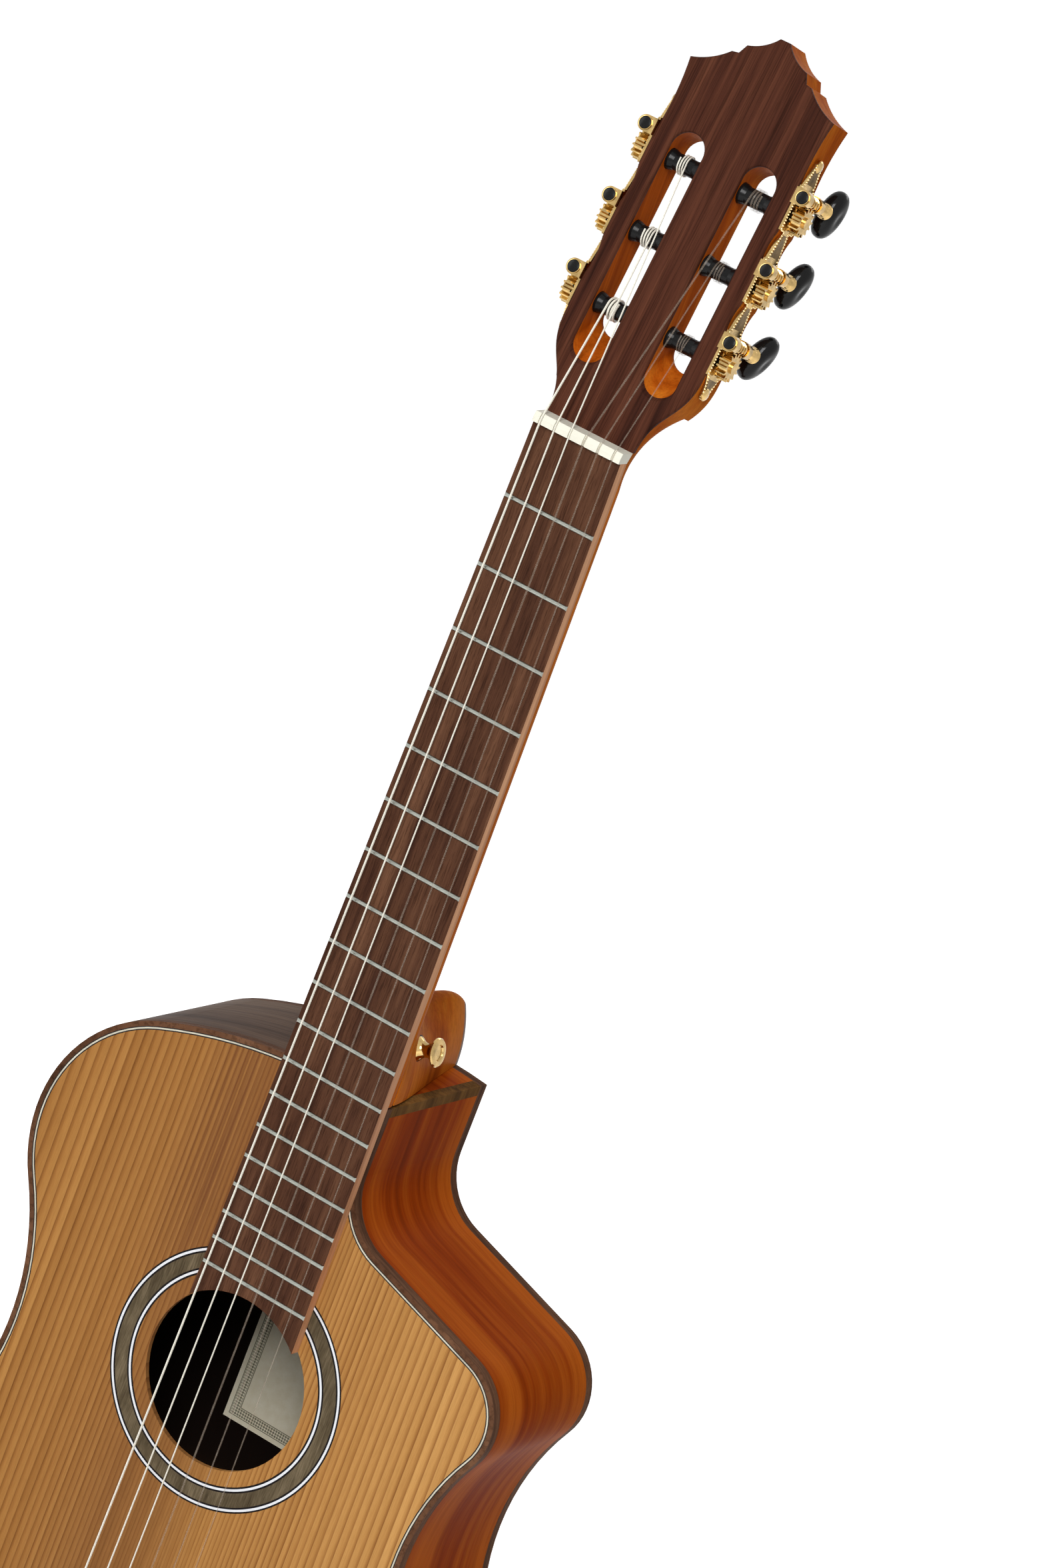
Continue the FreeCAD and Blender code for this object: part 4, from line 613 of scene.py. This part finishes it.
class Form:
    """Points and faces that grow into one mesh."""

    def __init__(self):
        self.points, self.faces = [], []

    def grow(self, points, faces):
        first = len(self.points)
        self.points += [Vector(point) for point in points]
        self.faces += [tuple(first + index for index in face) for face in faces]

    def rings(self, rings, round_trip=False):
        """Quads between rings of equally many points, with closed ends or as a round trip."""
        count = len(rings[0])
        faces = []
        for row in range(len(rings) if round_trip else len(rings) - 1):
            upper = (row + 1) % len(rings)
            for k in range(count):
                after = (k + 1) % count
                faces.append((row * count + k, row * count + after,
                              upper * count + after, upper * count + k))
        if not round_trip:
            faces.append(tuple(reversed(range(count))))
            faces.append(tuple((len(rings) - 1) * count + k for k in range(count)))
        self.grow([point for ring in rings for point in ring], faces)

    def lathe(self, place_of, profile, segments=32):
        """Turned form. place_of(radius, along, angle) gives a point. The profile ends on the axis."""
        turns = full_turn(segments)
        self.rings([[place_of(radius, along, angle) for angle in turns] for radius, along in profile])


def piece(name, form, material, body, crease=35.0, replaces=()):
    """One mesh piece that rides on a body."""
    mesh = bpy.data.meshes.new(name)
    mesh.from_pydata([point * MM for point in form.points], [], form.faces)
    work = bmesh.new()
    work.from_mesh(mesh)
    bmesh.ops.remove_doubles(work, verts=work.verts, dist=PIECE_WELD * MM)
    bmesh.ops.recalc_face_normals(work, faces=work.faces)
    work.to_mesh(mesh)
    work.free()
    mesh.materials.append(MATERIALS[material])
    mesh.shade_smooth()
    mesh.set_sharp_from_angle(angle=math.radians(crease))
    made = bpy.data.objects.new(name, mesh)
    bpy.context.scene.collection.objects.link(made)
    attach(made, body)
    for node in replaces:
        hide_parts(node)


def about_axis(foot, out, across):
    """Places round an axis that points along out, for Form.lathe. Both directions lie in the XZ plane."""
    def at(radius, along, angle):
        sideways = Vector((0, radius * math.sin(angle), 0))
        return foot + out * along + across * (radius * math.cos(angle)) + sideways
    return at


# Purfling

def purfling_loops():
    """The outer and the inner edge of the purfling's front face, each as a closed run of points."""
    mesh = bmesh.new()
    mesh.from_mesh(NODES["top_purfling"].data)
    bmesh.ops.remove_doubles(mesh, verts=mesh.verts, dist=NODE_WELD * MM)
    ahead = {}
    for face in mesh.faces:
        if face.normal.y >= FRONT_SLOPE:
            continue
        for loop in face.loops:
            others = [other for other in loop.edge.link_faces if other is not face]
            if all(other.normal.y > FRONT_SLOPE for other in others):
                ahead[loop.vert.co.copy().freeze()] = loop.link_loop_next.vert.co.copy().freeze()
    loops = []
    while ahead:
        start, after = ahead.popitem()
        run = [start]
        while after != start:
            run.append(after)
            after = ahead.pop(after)
        loops.append([Vector(point) / MM for point in run])
    mesh.free()
    loops.sort(key=lambda run: -sum((a - b).length for a, b in zip(run, run[1:])))
    return loops[0], loops[1]


def nearest_on(run, point):
    """The point of a closed run that is nearest to a given point."""
    best, least = None, math.inf
    for a, b in zip(run, run[1:] + run[:1]):
        way = b - a
        share = max(0.0, min(1.0, (point - a).dot(way) / way.length_squared))
        spot = a + way * share
        if (spot - point).length < least:
            best, least = spot, (spot - point).length
    return best


def make_purfling():
    """Black, white and black lines round the soundboard."""
    outer, inner = purfling_loops()
    facing = [nearest_on(inner, point) for point in outer]
    back = Vector((0, PURFLING_DEPTH, 0))
    dark, light = Form(), Form()
    white_start, white_end = PURFLING_WHITE
    lines = ((dark, 0.0, white_start), (light, white_start, white_end), (dark, white_end, 1.0))
    for form, start, end in lines:
        rings = []
        for a, b in zip(outer, facing):
            near, far = a.lerp(b, start), a.lerp(b, end)
            rings.append([near, far, far + back, near + back])
        form.rings(rings, round_trip=True)
    piece("purfling_light", light, "purfling", "guitar")
    piece("purfling_dark", dark, "ebony_line", "guitar", replaces=("top_purfling",))


# Head: x goes across it, t back from its face, and s along its face from the nut.

def head_place(x, t, s):
    """A point given in the head's directions."""
    tilt = math.radians(HEAD_ANGLE)
    return Vector((x, HEAD_Y + s * math.sin(tilt) + t * math.cos(tilt),
                   HEAD_Z + s * math.cos(tilt) - t * math.sin(tilt)))


def tuners():
    """Number, side and distance along the head of each tuner."""
    for k in range(TUNER_COUNT):
        yield k + 1, 1, TUNER_FIRST + k * TUNER_PITCH
        yield 2 * TUNER_COUNT - k, -1, TUNER_FIRST + k * TUNER_PITCH


def about_worm(side, s):
    """Places round a worm shaft's axis, for Form.lathe."""
    def at(radius, along, angle):
        return head_place(side * WORM_X + radius * math.sin(angle), along,
                          s + WORM_OFFSET + radius * math.cos(angle))
    return at


def about_roller(side, s):
    """Places round a roller's axis, for Form.lathe."""
    def at(radius, along, angle):
        return head_place(side * along, ROLLER_DEPTH + radius * math.sin(angle),
                          s + radius * math.cos(angle))
    return at


def worm_thread(form, side, s):
    """Right-handed thread that runs in the gaps of the gear's teeth."""
    lead = 2 * math.pi * GEAR_PITCH_RADIUS / GEAR_TEETH
    at = about_worm(side, s)
    rings = []
    for k in range(int(2 * THREAD_TURNS * THREAD_STEPS) + 1):
        turn = k / THREAD_STEPS - THREAD_TURNS
        middle, angle = ROLLER_DEPTH + lead * turn, 2 * math.pi * turn
        rings.append([at(radius, middle + across, angle) for radius, across in THREAD_SECTION])
    form.rings(rings)


def make_worms():
    """Threaded worm shafts with a black cap at each free end."""
    for number, side, s in tuners():
        at = about_worm(side, s)
        shaft = Form()
        shaft.lathe(at, WORM_PROFILE)
        worm_thread(shaft, side, s)
        piece(f"worm_shaft_{number}", shaft, "gilt", f"key_{number}", replaces=(f"worm_{number}",))
        cap = Form()
        cap.lathe(at, WORM_CAP_PROFILE)
        piece(f"worm_cap_{number}", cap, "roller_plastic", f"key_{number}")


def make_gear_screws():
    """A round black cap on each gear."""
    profile = [(radius, GEAR_FACE + along) for radius, along in GEAR_SCREW_PROFILE]
    for number, side, s in tuners():
        screw = Form()
        screw.lathe(about_roller(side, s), profile)
        piece(f"gear_screw_{number}", screw, "roller_plastic", f"spool_{number}")


def knob_point(polar, angle):
    """A point on a knob's skin, from its middle: y along its shaft, z along its length and x across both."""
    away = Vector((math.cos(polar), math.sin(polar) * math.cos(angle), math.sin(polar) * math.sin(angle)))
    flat = math.hypot(away.y / KNOB_HIGH, away.z / KNOB_LONG)
    point = away * (abs(away.x / KNOB_WIDE) ** KNOB_POWER + flat ** KNOB_POWER) ** (-1 / KNOB_POWER)
    spread = (point.y / KNOB_HIGH) ** 2 + (point.z / KNOB_LONG) ** 2
    point.x *= 1 - KNOB_DISH * math.exp(-spread / KNOB_DISH_SPREAD)
    return point


def make_knobs():
    """Rounded oval knobs, dished on both broad faces."""
    for number, side, s in tuners():
        turn = math.radians(KNOB_TURNS[number - 1])
        rings = []
        for row in range(KNOB_ROWS + 1):
            ring = []
            for angle in full_turn(KNOB_SEGMENTS):
                point = knob_point(math.pi * row / KNOB_ROWS, angle)
                x = point.x * math.cos(turn) + point.z * math.sin(turn)
                z = point.z * math.cos(turn) - point.x * math.sin(turn)
                ring.append(head_place(side * (WORM_X + x), KNOB_DEPTH + point.y, s + WORM_OFFSET + z))
            rings.append(ring)
        form = Form()
        form.rings(rings)
        piece(f"oval_knob_{number}", form, "knob_plastic", f"key_{number}", crease=60.0,
              replaces=(f"knob_{number}",))


def plate_edge():
    """Half width of the side plate along the head, as (distance, half width) pairs."""
    edge = [(TUNER_FIRST - PLATE_LEAD, PLATE_WAIST), (TUNER_FIRST - PLATE_HALF, PLATE_FAN)]
    for k in range(TUNER_COUNT):
        s = TUNER_FIRST + k * TUNER_PITCH
        edge += [(s - PLATE_HALF, PLATE_HALF), (s + PAD_END, PLATE_HALF), (s + PAD_END, PLATE_FAN)]
        if s < TUNER_LAST:
            edge.append((s + TUNER_PITCH - PLATE_HALF, PLATE_WAIST))
        else:
            edge.append((s + PLATE_TAIL, PLATE_WAIST))
    return edge


def add_bead(form, side, t, s):
    """One low dome on the outer face of a side plate."""
    rings = []
    for share, rise in BEAD_SHARES:
        across = BEAD_RADIUS * share
        rings.append([head_place(side * (PLATE_OUTER + BEAD_RADIUS * rise), t + across * math.cos(turn),
                                 s + across * math.sin(turn)) for turn in full_turn(BEAD_SEGMENTS)])
    form.rings(rings)


def add_beads(form, side):
    """Rows of beads along both edges of a side plate."""
    edge = plate_edge()
    for way in (-1, 1):
        for (s0, w0), (s1, w1) in zip(edge, edge[1:]):
            count = int(math.hypot(s1 - s0, w1 - w0) / BEAD_PITCH)
            for k in range(count):
                share = (k + 0.5) / count
                half = w0 + (w1 - w0) * share - BEAD_INSET
                add_bead(form, side, ROLLER_DEPTH + way * half, s0 + (s1 - s0) * share)


def add_fields(form, side):
    """Raised dark fields where a side plate narrows."""
    edge = plate_edge()
    for (s0, w0), (s1, w1) in zip(edge, edge[1:]):
        if abs(w1 - w0) < FIELD_LEAST or s1 - s0 < FIELD_LEAST:
            continue
        start, end = s0 + FIELD_MARGIN, s1 - FIELD_MARGIN
        near, far = w0 - FIELD_MARGIN, w1 - FIELD_MARGIN
        corners = [(-near, start), (near, start), (far, end), (-far, end)]
        form.rings([[head_place(side * (PLATE_OUTER + level), ROLLER_DEPTH + t, s) for t, s in corners]
                    for level in (MARK_SUNK, FIELD_PROUD)])


def make_plate_trim():
    """Beaded edges, dark chased fields and screws of the two side plates."""
    beads, fields, screws = Form(), Form(), Form()
    profile = [(radius, PLATE_OUTER + along) for radius, along in PLATE_SCREW_PROFILE]
    for side in (-1, 1):
        add_beads(beads, side)
        add_fields(fields, side)
        for s in (TUNER_FIRST - PLATE_LEAD, TUNER_LAST + PLATE_TAIL):
            screws.lathe(about_roller(side, s), profile, segments=20)
    piece("plate_beads", beads, "gilt_bright", "guitar", crease=80.0)
    piece("plate_fields", fields, "gilt_chased", "guitar")
    piece("plate_screws", screws, "gilt", "guitar")


def make_veneer():
    """The head's veneer with its front edges rounded over."""
    tilt = math.radians(HEAD_ANGLE)
    front = Vector((0, -math.cos(tilt), math.sin(tilt)))
    work = bmesh.new()
    work.from_mesh(NODES["head_veneer"].data)
    bmesh.ops.remove_doubles(work, verts=work.verts, dist=NODE_WELD * MM)
    bmesh.ops.dissolve_limit(work, angle_limit=math.radians(VENEER_FLAT), verts=work.verts, edges=work.edges)
    rims = []
    for edge in work.edges:
        slopes = sorted(face.normal.dot(front) for face in edge.link_faces)
        rim = len(slopes) == 2 and slopes[0] < VENEER_SIDE and slopes[1] > VENEER_FRONT
        middle = (edge.verts[0].co + edge.verts[1].co) / 2 / MM - head_place(0, 0, 0)
        if rim and middle.z > VENEER_SQUARE_END:
            rims.append(edge)
    bmesh.ops.bevel(work, geom=rims, offset=VENEER_ROUND * MM, segments=VENEER_STEPS, profile=0.5,
                    affect="EDGES", clamp_overlap=False)
    bmesh.ops.triangulate(work, faces=work.faces)
    work.verts.index_update()
    form = Form()
    form.grow([vertex.co / MM for vertex in work.verts],
              [[vertex.index for vertex in face.verts] for face in work.faces])
    work.free()
    piece("veneer_rounded", form, "veneer", "guitar", crease=40.0, replaces=("head_veneer",))


# Strap button

def make_strap_button():
    """Turned button on the heel, with a black washer under it."""
    tilt = math.radians(BUTTON_TILT)
    out = Vector((math.cos(tilt), 0, math.sin(tilt)))
    across = Vector((-math.sin(tilt), 0, math.cos(tilt)))
    at = about_axis(BUTTON_SEAT, out, across)
    button, washer = Form(), Form()
    button.lathe(at, BUTTON_PROFILE, segments=40)
    washer.lathe(at, BUTTON_WASHER, segments=40)
    piece("strap_button_head", button, "gilt", "guitar", replaces=("strap_button",))
    piece("strap_button_washer", washer, "black_plastic", "guitar")


# Preamp

def make_dials():
    """Fluted dials with a white pointer."""
    pointer_corners = rectangle(-POINTER_HALF, POINTER_HALF, POINTER_START, POINTER_END)
    for name, y in (("volume_knob", DIAL_Y), ("tone_knob", DIAL_Y + DIAL_PITCH)):
        middle = Vector((BEZEL_X, y, UPPER_Z + DIAL_Z))
        at = about_axis(middle, Vector((-1, 0, 0)), Vector((0, 0, 1)))
        rings = []
        for radius, along, flute in DIAL_PROFILE:
            rings.append([at(radius - flute * (0.5 - 0.5 * math.cos(DIAL_FLUTES * turn)), along, turn)
                          for turn in full_turn(DIAL_SEGMENTS)])
        dial = Form()
        dial.rings(rings)
        piece(name + "_fluted", dial, "dial", name, crease=30.0, replaces=(name,))
        pointer = Form()
        pointer.rings([[middle + Vector((-level, a, b)) for a, b in pointer_corners]
                       for level in POINTER_LEVELS])
        piece(name + "_pointer", pointer, "bone", name)


def make_scale():
    """Scale ticks round the dials."""
    ticks = Form()
    corners = rectangle(-TICK_HALF, TICK_HALF, TICK_INNER, TICK_OUTER)
    for y in (DIAL_Y, DIAL_Y + DIAL_PITCH):
        middle = Vector((BEZEL_X, y, UPPER_Z + DIAL_Z))
        for k in range(TICK_COUNT):
            angle = math.radians(DIAL_SWEEP * (2 * k / (TICK_COUNT - 1) - 1))
            out = Vector((0, math.sin(angle), math.cos(angle)))
            across = Vector((0, math.cos(angle), -math.sin(angle)))
            ticks.rings([[middle + out * b + across * a - Vector((level, 0, 0)) for a, b in corners]
                         for level in (MARK_SUNK, TICK_PROUD)])
    piece("preamp_scale", ticks, "bone", "guitar")


def make_door_ribs():
    """Finger ribs on the battery door."""
    ribs = Form()
    for k in range(RIB_COUNT):
        y = RIB_FIRST + k * RIB_PITCH
        corners = rectangle(y, y + RIB_WIDTH, -RIB_LENGTH, RIB_LENGTH)
        ribs.rings([[Vector((BEZEL_X - level, a, UPPER_Z + b)) for a, b in corners]
                    for level in (MARK_SUNK, RIB_PROUD)])
    piece("door_ribs", ribs, "black_plastic", "battery_door")


def make_panel_screws():
    """Screws at the panel's corners, square to its curved face."""
    screws = Form()
    panel_radius = UPPER_RADIUS + PANEL_THICKNESS
    for way_y in (-1, 1):
        for way_z in (-1, 1):
            lean = math.asin(way_z * PANEL_SCREW_Z / panel_radius)
            out = Vector((-math.cos(lean), 0, math.sin(lean)))
            across = Vector((math.sin(lean), 0, math.cos(lean)))
            centre = Vector((UPPER_RADIUS - UPPER_HALF, way_y * PANEL_SCREW_Y, UPPER_Z))
            foot = centre + out * panel_radius
            screws.lathe(about_axis(foot, out, across), PANEL_SCREW_PROFILE, segments=16)
    piece("panel_screws", screws, "plated_steel", "guitar")


# Stage, lights and camera

def seen_rays(tree):
    """1 for rays from the camera, or by way of metal or glass, and 0 for the rest."""
    paths = add(tree, "ShaderNodeLightPath").outputs
    mirrored = maths(tree, "MAXIMUM", paths["Is Glossy Ray"], paths["Is Transmission Ray"])
    return maths(tree, "MAXIMUM", paths["Is Camera Ray"], mirrored)


def stage_floor():
    """A wide pale floor that the camera sees as white, with the object's soft shadow."""
    tree = new_material("floor")
    finish_shader(tree, Base_Color=FLOOR_PAINT, Roughness=FLOOR_ROUGHNESS)
    lift = maths(tree, "MULTIPLY", seen_rays(tree), FLOOR_LIFT)
    glow = add(tree, "ShaderNodeEmission", {"Color": WHITE, "Strength": lift}).outputs[0]
    paint = tree.nodes["Principled BSDF"].outputs[0]
    both = add(tree, "ShaderNodeAddShader", {0: paint, 1: glow}).outputs[0]
    tree.links.new(both, tree.nodes["Material Output"].inputs["Surface"])
    mesh = bpy.data.meshes.new("floor")
    low = cad_box[0][2] - FLOOR_DROP
    corners = rectangle(-FLOOR_HALF, FLOOR_HALF, -FLOOR_HALF, FLOOR_HALF)
    mesh.from_pydata([(x, y, low) for x, y in corners], [], [(0, 1, 2, 3)])
    mesh.materials.append(MATERIALS["floor"])
    floor = bpy.data.objects.new("floor", mesh)
    bpy.context.scene.collection.objects.link(floor)


def studio_world():
    """Even soft light from all round, and plain white where the camera sees past the floor."""
    world = bpy.data.worlds.new("studio")
    world.use_nodes = True
    tree = world.node_tree
    strength = maths(tree, "ADD", maths(tree, "MULTIPLY", seen_rays(tree), 1 - WORLD_LIGHT), WORLD_LIGHT)
    background = tree.nodes["Background"]
    feed(tree, background.inputs["Color"], WHITE)
    feed(tree, background.inputs["Strength"], strength)
    bpy.context.scene.world = world


def soft_light(name, lamp_place, target, size, power):
    """A rectangular lamp, whose shadows have soft edges."""
    data = bpy.data.lights.new(name, "AREA")
    data.shape = "RECTANGLE"
    data.size, data.size_y = size
    data.energy = power
    light = bpy.data.objects.new(name, data)
    light.location = lamp_place
    light.rotation_euler = (Vector(target) - Vector(lamp_place)).to_track_quat("-Z", "Y").to_euler()
    bpy.context.scene.collection.objects.link(light)


def set_camera():
    """The photograph's camera, rolled as the photograph is."""
    data = bpy.data.cameras.new("camera")
    data.sensor_fit = "AUTO"
    data.sensor_width = SENSOR
    data.lens = LENS
    data.clip_end = CLIP_END
    camera = bpy.data.objects.new("camera", data)
    ahead = (CAMERA_TARGET - CAMERA_PLACE).to_track_quat("-Z", "Y").to_matrix()
    roll = Matrix.Rotation(math.radians(CAMERA_ROLL), 3, "Z")
    camera.matrix_world = Matrix.Translation(CAMERA_PLACE) @ (ahead @ roll).to_4x4()
    bpy.context.scene.collection.objects.link(camera)
    bpy.context.scene.camera = camera


make_materials()
dress_nodes()
make_purfling()
make_worms()
make_gear_screws()
make_knobs()
make_plate_trim()
make_strap_button()
make_veneer()
make_dials()
make_scale()
make_door_ribs()
make_panel_screws()
stage_floor()
studio_world()
for lamp in LAMPS:
    soft_light(*lamp)
set_camera()
bpy.context.scene.view_settings.view_transform = "Standard"
